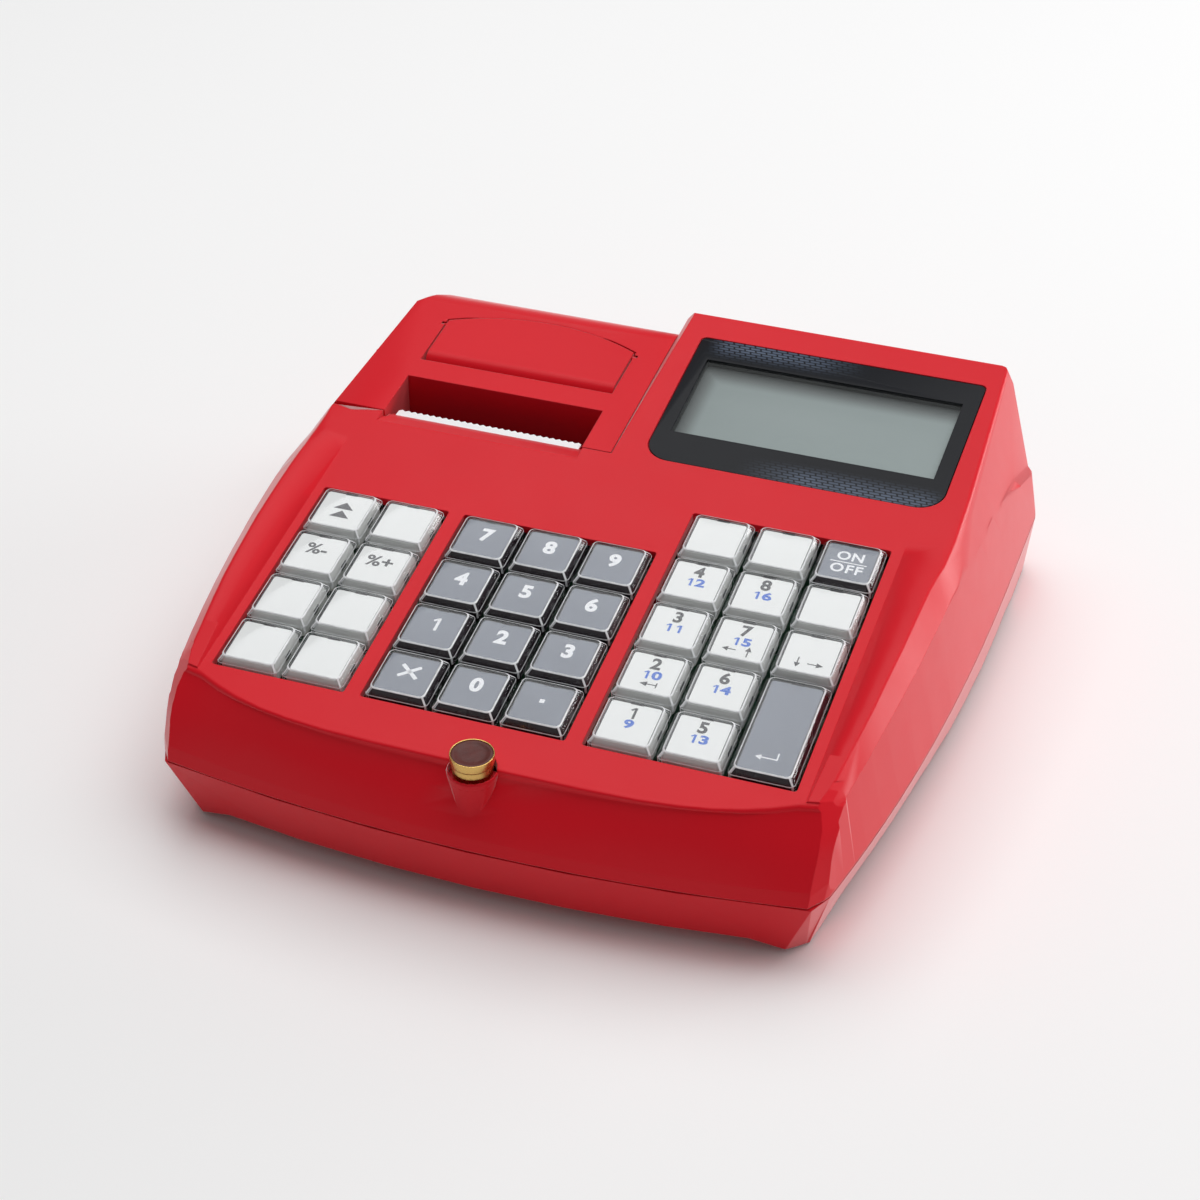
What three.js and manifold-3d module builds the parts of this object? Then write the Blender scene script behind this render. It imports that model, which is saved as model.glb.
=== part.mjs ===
// Portable electronic cash register with a built-in ticket printer.
// Millimetres. +X is to the operator's right, +Y to the back, +Z up.
// The origin is on the table, under the middle of the register.

import * as THREE from "three";
import { mergeVertices } from "three/addons/utils/BufferGeometryUtils.js";
import Module from "manifold-3d";

const wasm = await Module();
wasm.setup();

// Overall sizes
const bodyWidth = 216;
const bodyDepth = 210;
const partingHeight = 21.3;
const wall = 2.5;
const seamGap = 0.5;
const fitGap = 0.3;
const weldLength = 0.02;
const overrun = 6;

// Deck: the sloped top face that holds the keys and the display
const deckSlopeDegrees = 7;
const deckFrontHeight = 43.6;
const frontSetback = 8.5;
const frontBow = 7.8;
const lipBow = 10.2;
const lipBowHalfWidth = 83;
const lipStep = 3;
const lipStepHalfWidth = 74;
const lipUndercut = 0.5;
const lipRound = 0.9;
const cornerRound = 1.6;
const frontBulge = 1.2;
const rearRound = 2.2;

// Sides
const sideNarrowing = 17.4;
const sideFullInset = 17.5;
const cornerCutWidth = 3.1;
const cornerCutLength = 6.5;
const rearCornerRound = 8;
const lidStripDegrees = 55;
const humpSideDegrees = 15.3;
const ridgeRound = 1.2;

// Side rails beside the keys
const railHeight = 2.6;
const railFootX = 84.6;
const railWallWidth = 2.7;
const railFrontInset = 15;
const railLength = 104;

// Display housing
const humpFrontInset = 129.8;
const humpLeftX = -7.4;
const humpLeftLeanShare = 0.78;
const shoulderHeight = 50.5;
const shoulderFallShare = 0.33;
const shoulderStartInset = 162;

// Keys
const keyPitch = 19.05;
const keyBase = 18;
const keyTop = 15.2;
const keyHeight = 2.1;
const keySkirtTop = 0.1;
const keySkirtDepth = 2.2;
const capDepth = 4.2;
const capWidth = 16.2;
const keyCorner = 1.5;
const stemWidth = 5.2;
const keyTravel = 3.5;
const windowMargin = 0.3;
const groupGap = 5.2;
const middleGroupX = -28.9;
const keyRowInset = 89.8;

// Key switch bank under the keys
const housingWidth = 13.8;
const housingHeight = 5;
const stemLength = housingHeight - fitGap;
const boardThickness = 1.6;
const boardEdge = 1.2;
const bossRadius = 3;

// Ticket printer
const printerX = -48;
const paperWidth = 57;
const rollRadius = 20;
const rollCoreRadius = 6;
const outletWidth = 62.6;
const outletBackInset = 156.1;
const lidFrontInset = 137.1;
const lidSlopeDegrees = 4.3;
const lidThickness = 2.2;
const lidRearRound = 12;
const lidSeamHeight = 49.3;
const lidRidgeInset = 12.8;
const lidCornerInset = 3;
const lidCornerLeanShare = 0.77;
const lidBackLeanShare = 0.13;
const lidRoundGrowShare = 0.27;
const plateHeight = 48.8;
const plateThickness = 2;
const tubWall = 2;
const tubWidth = 70;
const tubFrontFloor = 30;
const tubFrontLength = 22.4;
const rollClearance = 1.5;
const rollInset = 177;
const rollSideRoom = 2.5;
const outletWall = 1.8;
const outletWallBottom = 41;
const outletWallInset = 3.9;
const rampLength = 10.6;
const rampDrop = 2.2;
const cutterThickness = 0.7;
const cutterDepth = 3.5;
const cutterWidth = 58.2;
const toothDepth = 0.7;
const toothCount = 29;
const platenRadius = 4.5;
const platenShaftRadius = 1.5;
const platenHeight = 43.5;
const platenInset = 149.5;
const headBlockFront = 7;
const headFaceHalf = 3.4;

// Lid hinge
const pinRadius = 1.5;
const knuckleRadius = 3.6;
const earThickness = 3;
const knuckleWidth = 6;
const leftEarInset = 36.5;
const rightEarInset = 33.5;

// Lid release flap
const flapWidth = 61.5;
const flapNoseInset = 166.5;
const flapNoseRadius = 4;
const flapNoseDepth = 5.6;
const flapCornerInset = 187.6;
const flapArcRise = 7.4;
const flapThickness = 2.2;
const fingerSlotInset = 165.2;
const fingerSlotDepth = 9.4;
const flapPocketDepth = 5.9;
const pocketWall = 1.6;
const trunnionRadius = 0.9;
const trunnionLength = 1.2;

// Display
const bezelLeftX = 1.4;
const bezelWidth = 88.4;
const bezelFrontInset = 138.6;
const bezelLength = 59.4;
const bezelThickness = 1.2;
const bezelSmallRound = 2;
const bezelLargeRound = 8;
const windowWidth = 79;
const windowLength = 35.9;
const windowLeftMargin = 4.6;
const windowFrontMargin = 13.4;
const lcdMargin = 4;
const lcdThickness = 5;
const customerWindowWidth = 84;
const customerWindowHeight = 22;
const customerWindowX = 46;
const customerWindowBottom = 41;
const customerWindowThickness = 1.4;
const customerRim = 3;

// Fiscal seal
const sealX = -0.4;
const sealInset = 7.4;
const sealRadius = 6.1;
const sealHeight = 7.6;
const sealSunk = 2.4;
const sealWall = 0.7;
const sealWaxDrop = 0.5;
const bossTopRadius = 6.9;
const bossFootRadius = 4.2;
const bossDrop = 13.6;

// Base tray
const baseFrontInset = 6;
const baseFloorHeight = 4.5;
const footHeight = 0.8;
const footLength = 24;
const footWidth = 22;
const footRamp = 12;
const padRadius = 5.5;
const padThickness = 2;
const padInsetX = 27;
const padInsetY = 17;
const screwFrontInsetX = 20.4;
const screwFrontInset = 33;
const screwRearInset = 11;
const screwRadius = 1.4;
const screwHeadRadius = 2.8;
const screwHeadHeight = 2;
const screwLength = 13;
const postRadius = 3.5;

// Electronics in the base
const mainBoardWidth = 92;
const mainBoardLength = 118;
const mainBoardX = 46;
const mainBoardRise = 1.5;
const socketHeight = 9.6;
const socketDepth = 14;
const dcSocketWidth = 9;
const drawerSocketWidth = 13;
const serialSocketWidth = 16;
const socketSpacing = 24;
const socketRightX = 82;
const socketProud = 1;
const batteryWidth = 62;
const batteryLength = 46;
const batteryHeight = 15;
const batteryX = -46;
const batteryInset = 42;
const batteryRound = 6;

// Faces per turn and per curve
const turnSteps = 20;
const smallTurnSteps = 12;
const arcSteps = 3;
const stripSteps = 14;

const halfWidth = bodyWidth / 2;
const frontY = -bodyDepth / 2;
const rearY = bodyDepth / 2;
const deckSlope = THREE.MathUtils.degToRad(deckSlopeDegrees);
const deckRise = Math.tan(deckSlope);
const lidRise = Math.tan(THREE.MathUtils.degToRad(lidSlopeDegrees));
const lidStripFall = Math.tan(THREE.MathUtils.degToRad(lidStripDegrees));
const humpLean = Math.tan(THREE.MathUtils.degToRad(humpSideDegrees));
const lipY = frontY + frontSetback;
const lidFrontY = frontY + lidFrontInset;
const humpFrontY = frontY + humpFrontInset;
const hingeY = rearY - lidRearRound;
const deckHeight = (y) => deckFrontHeight + (y - lipY) * deckRise;
const lidHeight = (y) => deckHeight(lidFrontY) + (y - lidFrontY) * lidRise;
const hingeZ = lidHeight(hingeY) - lidRearRound * Math.hypot(1, lidRise);

// Materials
function material(name, color, roughness, metalness = 0) {
  return new THREE.MeshStandardMaterial({ name, color, roughness, metalness });
}

const redPlastic = () => material("red_plastic", 0xc8202c, 0.45);
const blackPlastic = () => material("black_plastic", 0x232528, 0.35);
const greyLabelKey = () => material("grey_key", 0x878b94, 0.25);
const whiteLabelKey = () => material("white_key", 0xe9e9e6, 0.25);
const lcdGlass = () => material("lcd_glass", 0x86908c, 0.3);
const brass = () => material("brass", 0xb08a4a, 0.3, 1);
const sealWax = () => material("seal_wax", 0x4a1f1c, 0.6);
const steel = () => material("steel", 0xc9ccd0, 0.3, 1);
const rubber = () => material("rubber", 0x2a2a2c, 0.9);
const paper = () => material("paper", 0xf3f2ee, 0.9);
const boardGreen = () => material("circuit_board", 0x1f5a38, 0.5);
const darkWindow = () => material("dark_window", 0x1b1d20, 0.15);

// Solids and booleans

function solid(geometry) {
  const bare = geometry.clone();
  bare.deleteAttribute("normal");
  bare.deleteAttribute("uv");
  const merged = mergeVertices(bare);
  const vertProperties = Float32Array.from(merged.attributes.position.array);
  const triVerts = Uint32Array.from(merged.index.array);
  return new wasm.Manifold(new wasm.Mesh({ numProp: 3, vertProperties, triVerts }));
}

// The surface of a solid, with the ends of each very short edge made one point
function geometryOf(shape) {
  const mesh = shape.getMesh();
  const corners = mesh.triVerts;
  const points = [];
  for (let vertex = 0; vertex < mesh.numVert; vertex++) {
    points.push(new THREE.Vector3().fromArray(mesh.vertProperties, vertex * mesh.numProp));
  }
  const joined = points.map((point, index) => index);
  const rootOf = (index) => (joined[index] === index ? index : rootOf(joined[index]));
  for (let face = 0; face < corners.length; face += 3) {
    for (let edge = 0; edge < 3; edge++) {
      const from = rootOf(corners[face + edge]);
      const to = rootOf(corners[face + ((edge + 1) % 3)]);
      if (from !== to && points[from].distanceTo(points[to]) < weldLength) {
        joined[Math.max(from, to)] = Math.min(from, to);
      }
    }
  }
  const index = [];
  for (let face = 0; face < corners.length; face += 3) {
    const [a, b, c] = [corners[face], corners[face + 1], corners[face + 2]].map(rootOf);
    if (a !== b && b !== c && c !== a) {
      index.push(a, b, c);
    }
  }
  const geometry = new THREE.BufferGeometry();
  geometry.setAttribute("position", new THREE.Float32BufferAttribute(points.flatMap((point) => point.toArray()), 3));
  geometry.setIndex(index);
  geometry.computeVertexNormals();
  return geometry;
}

const unite = (...shapes) => shapes.reduce((sum, shape) => sum.add(shape));
const cut = (shape, ...cutters) => cutters.reduce((rest, cutter) => rest.subtract(cutter), shape);
const common = (...shapes) => shapes.reduce((sum, shape) => sum.intersect(shape));

function turned(shape, matrix) {
  const geometry = geometryOf(shape);
  geometry.applyMatrix4(matrix);
  return solid(geometry);
}

// A closed skin through rings of points that lie one after another, each end closed from its middle point
function loft(rings) {
  const count = rings[0].length;
  const last = (rings.length - 1) * count;
  const middle = (ring) => ring.reduce((sum, point) => sum.add(point), new THREE.Vector3()).divideScalar(count);
  const points = [...rings.flat(), middle(rings[0]), middle(rings[rings.length - 1])];
  const faces = [];
  for (let step = 0; step < count; step++) {
    const next = (step + 1) % count;
    faces.push([next, step, points.length - 2], [last + step, last + next, points.length - 1]);
    for (let start = 0; start < last; start += count) {
      faces.push([start + step, start + next, start + count + next]);
      faces.push([start + step, start + count + next, start + count + step]);
    }
  }
  const volumeOf = ([a, b, c]) => points[a].dot(points[b].clone().cross(points[c]));
  const volume = faces.reduce((sum, face) => sum + volumeOf(face), 0);
  const outward = faces.map((face) => (volume < 0 ? [...face].reverse() : face));
  const vertProperties = Float32Array.from(points.flatMap((point) => point.toArray()));
  const triVerts = Uint32Array.from(outward.flat());
  return new wasm.Manifold(new wasm.Mesh({ numProp: 3, vertProperties, triVerts }));
}

// An outline in two axes run along the third, from one place to another
function run(shape, from, to, axis, curveSegments = smallTurnSteps) {
  const geometry = new THREE.ExtrudeGeometry(shape, { depth: to - from, bevelEnabled: false, curveSegments });
  const basis = new THREE.Matrix4();
  if (axis === "x") {
    geometry.translate(0, 0, from);
    basis.makeBasis(new THREE.Vector3(0, 1, 0), new THREE.Vector3(0, 0, 1), new THREE.Vector3(1, 0, 0));
  } else if (axis === "y") {
    geometry.translate(0, 0, -to);
    basis.makeBasis(new THREE.Vector3(1, 0, 0), new THREE.Vector3(0, 0, 1), new THREE.Vector3(0, -1, 0));
  } else {
    geometry.translate(0, 0, from);
  }
  geometry.applyMatrix4(basis);
  return solid(geometry);
}

const outlineOf = (points) => new THREE.Shape(points.map(([u, v]) => new THREE.Vector2(u, v)));

function box(lowX, highX, lowY, highY, lowZ, highZ) {
  const geometry = new THREE.BoxGeometry(highX - lowX, highY - lowY, highZ - lowZ);
  geometry.translate((lowX + highX) / 2, (lowY + highY) / 2, (lowZ + highZ) / 2);
  return solid(geometry);
}

// A round bar along an axis, its centre line through two given places on the other axes
function bar(axis, from, to, u, v, radius, steps = turnSteps) {
  const geometry = new THREE.CylinderGeometry(radius, radius, to - from, steps);
  geometry.rotateY(Math.PI / steps);
  if (axis === "x") {
    geometry.rotateZ(Math.PI / 2);
    geometry.translate((from + to) / 2, u, v);
  } else if (axis === "y") {
    geometry.translate(u, (from + to) / 2, v);
  } else {
    geometry.rotateX(Math.PI / 2);
    geometry.translate(u, v, (from + to) / 2);
  }
  return solid(geometry);
}

// A turned piece about +Z from its radius and height pairs
function lathe(profile, steps = turnSteps) {
  const geometry = new THREE.LatheGeometry(profile.map(([r, z]) => new THREE.Vector2(r, z)), steps);
  geometry.rotateX(Math.PI / 2);
  return geometry;
}

// A rectangle with its own radius at each corner: left front, right front, right back, left back
function roundedRectangle(lowX, highX, lowY, highY, radii) {
  const [leftFront, rightFront, rightBack, leftBack] = radii;
  const shape = new THREE.Shape();
  shape.moveTo(lowX + leftFront, lowY);
  shape.lineTo(highX - rightFront, lowY);
  shape.absarc(highX - rightFront, lowY + rightFront, rightFront, -Math.PI / 2, 0);
  shape.lineTo(highX, highY - rightBack);
  shape.absarc(highX - rightBack, highY - rightBack, rightBack, 0, Math.PI / 2);
  shape.lineTo(lowX + leftBack, highY);
  shape.absarc(lowX + leftBack, highY - leftBack, leftBack, Math.PI / 2, Math.PI);
  shape.lineTo(lowX, lowY + leftFront);
  shape.absarc(lowX + leftFront, lowY + leftFront, leftFront, Math.PI, Math.PI * 1.5);
  return shape;
}

// The outline's corner at a point becomes an arc between the two edges that meet there
function roundedCorner(before, corner, after, radius) {
  const here = new THREE.Vector2(...corner);
  const back = new THREE.Vector2(...before).sub(here).normalize();
  const ahead = new THREE.Vector2(...after).sub(here).normalize();
  const half = Math.acos(THREE.MathUtils.clamp(back.dot(ahead), -1, 1)) / 2;
  const reach = Math.min(radius / Math.tan(half), radius);
  const from = here.clone().addScaledVector(back, reach);
  const to = here.clone().addScaledVector(ahead, reach);
  const points = [];
  for (let step = 0; step <= arcSteps; step++) {
    const t = step / arcSteps;
    const first = from.clone().lerp(here, t);
    const second = here.clone().lerp(to, t);
    points.push(first.lerp(second, t).toArray());
  }
  return points;
}

// Form of the housing

const smooth = (value, low, high) => THREE.MathUtils.smoothstep(value, low, high);

function sideX(y) {
  const fullY = rearY - sideFullInset;
  const sidePowerShare = 2.7;
  return halfWidth - sideNarrowing * Math.max(0, (fullY - y) / (fullY - frontY)) ** sidePowerShare;
}

// Lean of the side walls, at places given as shares of the half depth
const draftShares = [
  [-0.871, 0.05],
  [-0.857, 0.062],
  [-0.831, 0.1],
  [-0.789, 0.135],
  [-0.73, 0.16],
  [-0.5, 0.17],
  [0.17, 0.18],
];

const sideDraft = (y) => shareAt(draftShares, y / rearY);

function frontCurve(x) {
  const reach = halfWidth - sideNarrowing;
  return frontY + frontBow * (x / reach) ** 2;
}

function lipCurve(x) {
  const lipPowerShare = 4.4;
  return lipY + lipBow * Math.min(Math.abs(x) / lipBowHalfWidth, 1.03) ** lipPowerShare;
}

function railShare(y) {
  const along = (y - frontY - railFrontInset) / railLength;
  return along > 0 && along < 1 ? Math.sin(Math.PI * along) : 0;
}

// Ridge of the rails: places along the half depth, and how far out it lies as a share of the half width
const ridgeShares = [
  [-1.1, 0.8],
  [-0.82, 0.821],
  [-0.66, 0.838],
  [-0.5, 0.857],
  [-0.24, 0.874],
  [0.03, 0.884],
];
const humpRidgeShares = [
  [0.236, 0.913],
  [1.1, 0.866],
];

// Top edge of the side walls: places along the half depth, how far out, and how high as a share of the deck's height
const sideEdgeShares = [
  [-0.95, 0.875, 0.95],
  [-0.789, 0.866, 0.945],
  [-0.73, 0.863, 0.939],
  [-0.649, 0.874, 0.946],
  [-0.519, 0.889, 0.954],
  [-0.348, 0.904, 0.955],
  [-0.157, 0.917, 0.949],
  [0.033, 0.931, 0.924],
  [0.224, 0.938, 0.873],
  [1.1, 0.952, 0.722],
];

// Strip that turns down each front corner: its front edge, then its side edge, as shares of the half width
const cornerStripShares = [
  [0.85, -0.953, 0, 0.876, -0.86, 0],
  [0.839, -0.9, 0.197, 0.8685, -0.848, 0.197],
  [0.837, -0.886, 0.25, 0.866, -0.847, 0.256],
  [0.834, -0.866, 0.296, 0.864, -0.833, 0.306],
  [0.829, -0.836, 0.345, 0.86, -0.808, 0.356],
  [0.824, -0.808, 0.389, 0.858, -0.767, 0.389],
  [0.821, -0.778, 0.419, 0.86, -0.72, 0.401],
  [0.826, -0.713, 0.437, 0.87, -0.655, 0.412],
];

// Slope of the shoulder under the display housing, at places along the half depth
const shoulderSlopeShares = [
  [0.224, 1.43],
  [0.384, 1.04],
  [0.59, 0.62],
  [0.79, 0.51],
];

function shareAt(table, place, column = 1) {
  const last = table.length - 1;
  if (place <= table[0][0]) {
    return table[0][column];
  }
  for (let row = 0; row < last; row++) {
    const from = table[row];
    const to = table[row + 1];
    if (place <= to[0]) {
      return THREE.MathUtils.lerp(from[column], to[column], (place - from[0]) / (to[0] - from[0]));
    }
  }
  return table[last][column];
}

function ridgeX(y, right) {
  const table = right ? [...ridgeShares, ...humpRidgeShares] : ridgeShares;
  return halfWidth * shareAt(table, y / rearY);
}

// Half of the cross-section over the deck, from outside to the middle, at one place along the depth
function sideOutline(y, right, inset) {
  const rail = railShare(y);
  const deck = deckHeight(y) - inset;
  const top = deck + rail * railHeight;
  const ridge = ridgeX(y, right) - inset;
  const edgeX = halfWidth * shareAt(sideEdgeShares, y / rearY) - inset;
  const edgeZ = deckHeight(y) * shareAt(sideEdgeShares, y / rearY, 2) - inset;
  const edgeSlope = (top - edgeZ) / (edgeX - ridge);
  const shoulderFall = Math.max(0, y - frontY - shoulderStartInset) * shoulderFallShare;
  const shoulderZ = shoulderHeight - shoulderFall - inset;
  const shoulderX = ridge + (top - shoulderZ) * humpLean;
  const atHump = right ? smooth(y, humpFrontY - overrun * 2, humpFrontY) : 0;
  const footX = THREE.MathUtils.lerp(edgeX, shoulderX, atHump);
  const footZ = THREE.MathUtils.lerp(edgeZ, shoulderZ, atHump);
  const slope = THREE.MathUtils.lerp(edgeSlope, shareAt(shoulderSlopeShares, y / rearY), atHump);
  const far = halfWidth + overrun * 2;
  const inner = [railFootX + railWallWidth * Math.max(rail, 0.02), top];
  return [
    [far, -halfWidth],
    [far, footZ - (far - footX) * slope],
    [footX, footZ],
    ...roundedCorner([footX, footZ], [ridge, top], inner, ridgeRound),
    inner,
    [railFootX, deck],
  ];
}

// Places of the cross-sections, as shares of the half depth
const sectionShares = [
  -1.08, -0.95, -0.86, -0.79, -0.73, -0.65, -0.57, -0.48, -0.4, -0.32, -0.24, -0.16, -0.08, 0,
  0.06, 0.11, 0.17, 0.236, 0.3, 0.36, 0.43, 0.5, 0.6, 0.7, 0.8, 0.9, 1.08,
];

function topForm(inset) {
  const rings = sectionShares.map((share) => {
    const y = rearY * share;
    const right = sideOutline(y, true, inset);
    const left = sideOutline(y, false, inset).map(([x, z]) => [-x, z]).reverse();
    return [...right, ...left].map(([x, z]) => new THREE.Vector3(x, y, z));
  });
  return loft(rings);
}

// Places across the width for the front and back profiles, as shares of the half width
const acrossShares = [
  -1.1, -0.9, -0.83, -0.77, -0.71, -0.65, -0.58, -0.5, -0.4, -0.28, -0.14, 0,
  0.14, 0.28, 0.4, 0.5, 0.58, 0.65, 0.71, 0.77, 0.83, 0.9, 1.1,
];
const wallStepShares = [0, 0.2, 0.45, 0.72, 1];

function frontAndBackForm(inset) {
  const hair = fitGap / 20;
  const rings = acrossShares.map((share) => {
    const x = halfWidth * share;
    const step = Math.max(0, lipStep * (1 - (x / lipStepHalfWidth) ** 2));
    const toCorner = smooth(Math.abs(x), lipStepHalfWidth * 0.8, lipBowHalfWidth);
    const round = THREE.MathUtils.lerp(lipRound, cornerRound, toCorner);
    const edgeY = lipCurve(x) + inset;
    const edgeZ = deckHeight(edgeY) - inset;
    const lip = roundedCorner(
      [edgeY, edgeZ - round * 2],
      [edgeY, edgeZ],
      [edgeY + round * 2, edgeZ + round * 2 * deckRise],
      round,
    );
    const wallTop = new THREE.Vector2(edgeY + Math.min(lipUndercut, step), edgeZ - Math.max(step, round));
    const wallFoot = new THREE.Vector2(frontCurve(x) + inset, partingHeight);
    const middle = wallTop.clone().lerp(wallFoot, 0.5);
    middle.x -= frontBulge * (2 + toCorner);
    const wallLine = new THREE.QuadraticBezierCurve(wallTop, middle, wallFoot);
    const front = wallStepShares.map((along) => wallLine.getPoint(1 - along).toArray());
    const backY = rearY - inset;
    const backZ = deckHeight(backY) - inset;
    const back = roundedCorner(
      [backY - rearRound * 2, backZ - rearRound * 2 * deckRise],
      [backY, backZ],
      [backY, backZ - rearRound * 2],
      rearRound,
    );
    const ring = [
      [wallFoot.x, -halfWidth],
      ...front,
      ...lip.map(([y, z]) => [y, z + hair]),
      [edgeY + round, bodyDepth],
      [backY - rearRound, bodyDepth],
      ...back.map(([y, z]) => [y, z + hair]),
      [backY, -halfWidth],
    ];
    return ring.map(([y, z]) => new THREE.Vector3(x, y, z));
  });
  return loft(rings);
}

// Places along the side for the plan outline, as shares of the half depth
const planShares = [0.84, 0.7, 0.55, 0.4, 0.25, 0.1, -0.05, -0.2, -0.33, -0.45, -0.56, -0.66, -0.73, -0.79, -0.83];

// One side of the plan at a height, from the rear corner to the front corner
function planSide(height, inset) {
  const rise = Math.max(0, height - partingHeight);
  const cutBackY = frontY + frontBow + cornerCutLength;
  const at = (y) => sideX(y) - sideDraft(y) * rise - inset;
  const points = [];
  for (let step = 0; step <= 4; step++) {
    const angle = (Math.PI / 2) * (1 - step / 4);
    const outX = at(rearY) - rearCornerRound * (1 - Math.cos(angle));
    points.push([outX, rearY - inset - rearCornerRound * (1 - Math.sin(angle))]);
  }
  points.push(...planShares.map((share) => [at(rearY * share), rearY * share]));
  points.push([at(cutBackY), cutBackY]);
  return points;
}

function sideForm(inset) {
  const levels = [-halfWidth, partingHeight, bodyWidth / 2];
  const rings = levels.map((height) => {
    const right = planSide(height, inset);
    const [x, y] = right[right.length - 1];
    const ahead = 4;
    right.push([x - cornerCutWidth * ahead, y - cornerCutLength * ahead]);
    const left = right.map(([sideways, along]) => [-sideways, along]).reverse();
    return [...right, ...left].map(([u, v]) => new THREE.Vector3(u, v, height));
  });
  return loft(rings);
}

// What lies outside the strip of one front corner, for the right side or the left
function cornerCutter(inset, side) {
  const [fronts, backs] = [0, 3].map((column) => {
    const points = cornerStripShares.map((shares) => {
      const [x, y, z] = shares.slice(column, column + 3);
      return new THREE.Vector3(x * side, y, z).multiplyScalar(halfWidth);
    });
    return new THREE.CatmullRomCurve3(points);
  });
  const reach = cornerCutLength * 0.7;
  const margin = reach * 0.4;
  const rings = [];
  for (let step = 0; step <= stripSteps; step++) {
    const front = fronts.getPoint(step / stripSteps);
    const back = backs.getPoint(step / stripSteps);
    const along = fronts.getTangent(step / stripSteps).add(backs.getTangent(step / stripSteps));
    const across = back.clone().sub(front).normalize();
    const outward = across.clone().cross(along).multiplyScalar(side).normalize();
    const start = front.clone().addScaledVector(across, -margin).addScaledVector(outward, -inset);
    const end = back.clone().addScaledVector(across, margin).addScaledVector(outward, -inset);
    const middle = start.clone().lerp(end, 0.5);
    const outer = [end, start].map((point) => point.clone().addScaledVector(outward, reach));
    rings.push([start, middle, end, ...outer]);
  }
  return loft(rings);
}

function housingForm(inset) {
  const block = common(topForm(inset), frontAndBackForm(inset), sideForm(inset));
  return cut(block, cornerCutter(inset, 1), cornerCutter(inset, -1));
}

// Frame of the deck: its origin is on the deck under the key row of the digit 7, its Z square to the deck
const deckOriginY = frontY + keyRowInset;
const deckFrame = new THREE.Matrix4()
  .makeTranslation(0, deckOriginY, deckHeight(deckOriginY))
  .multiply(new THREE.Matrix4().makeRotationX(deckSlope));
const alongDeck = (y) => (y - deckOriginY) / Math.cos(deckSlope);

// Key groups: place of the left front key, columns and rows
const keyGroups = [
  { name: "left", x: middleGroupX - groupGap - keyPitch * 2, row: -3, columns: 2, rows: 4 },
  { name: "middle", x: middleGroupX, row: -3, columns: 3, rows: 4 },
  { name: "right", x: middleGroupX + groupGap + keyPitch * 3, row: -3, columns: 3, rows: 5 },
];

const keyNames = {
  left: [
    ["function_key_7", "function_key_8"],
    ["function_key_5", "function_key_6"],
    ["function_key_3", "function_key_4"],
    ["function_key_1", "function_key_2"],
  ],
  middle: [
    ["times_key", "digit_key_0", "point_key"],
    ["digit_key_1", "digit_key_2", "digit_key_3"],
    ["digit_key_4", "digit_key_5", "digit_key_6"],
    ["digit_key_7", "digit_key_8", "digit_key_9"],
  ],
  right: [
    ["item_key_1", "item_key_5", "total_key"],
    ["item_key_2", "item_key_6", null],
    ["item_key_3", "item_key_7", "function_key_12"],
    ["item_key_4", "item_key_8", "function_key_11"],
    ["function_key_9", "function_key_10", "on_off_key"],
  ],
};

function keyList() {
  const keys = [];
  for (const group of keyGroups) {
    keyNames[group.name].forEach((names, row) => {
      names.forEach((name, column) => {
        if (name) {
          const rows = name === "total_key" ? 2 : 1;
          keys.push({
            name,
            x: group.x + column * keyPitch,
            y: (group.row + row + (rows - 1) / 2) * keyPitch,
            rows,
            dark: group.name === "middle" || name === "on_off_key" || name === "total_key",
          });
        }
      });
    });
  }
  return keys;
}

const keys = keyList();

function keyGeometry(rows) {
  const extra = (rows - 1) * keyPitch;
  const stemBottom = -capDepth - stemLength;
  const levels = [
    [stemWidth, stemWidth, stemBottom],
    [stemWidth, stemWidth, -capDepth],
    [capWidth, capWidth + extra, -capDepth],
    [capWidth, capWidth + extra, -keySkirtDepth],
    [keyBase, keyBase + extra, -keySkirtDepth],
    [keyBase, keyBase + extra, keySkirtTop],
    [keyTop, keyTop + extra, keyHeight],
  ];
  const rings = levels.map(([width, length, height]) => {
    const x = width / 2;
    const y = length / 2;
    const corner = (keyCorner * width) / keyBase;
    return [
      [x - corner, -y], [x, -y + corner], [x, y - corner], [x - corner, y],
      [corner - x, y], [-x, y - corner], [-x, corner - y], [corner - x, -y],
    ].map(([u, v]) => new THREE.Vector3(u, v, height));
  });
  return geometryOf(loft(rings));
}

// Windows in the deck, in the deck's frame
function keyWindows() {
  const cutters = keyGroups.map((group) => {
    const lowX = group.x - keyPitch / 2 - windowMargin;
    const highX = lowX + group.columns * keyPitch + windowMargin * 2;
    const lowY = (group.row - 0.5) * keyPitch - windowMargin;
    const highY = lowY + group.rows * keyPitch + windowMargin * 2;
    const round = keyCorner / 2;
    return run(roundedRectangle(lowX, highX, lowY, highY, [round, round, round, round]), -overrun, overrun, "z", 1);
  });
  return cutters;
}

// Display panel, in the deck's frame
const bezelFront = alongDeck(frontY + bezelFrontInset);
const bezelRadii = [bezelLargeRound, bezelLargeRound, bezelSmallRound, bezelSmallRound];
const windowLeft = bezelLeftX + windowLeftMargin;
const windowFront = bezelFront + windowFrontMargin;

function bezelOutline(grow) {
  return roundedRectangle(
    bezelLeftX - grow,
    bezelLeftX + bezelWidth + grow,
    bezelFront - grow,
    bezelFront + bezelLength + grow,
    bezelRadii,
  );
}

function windowBox(grow, low, high) {
  return box(
    windowLeft - grow,
    windowLeft + windowWidth + grow,
    windowFront - grow,
    windowFront + windowLength + grow,
    low,
    high,
  );
}

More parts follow.
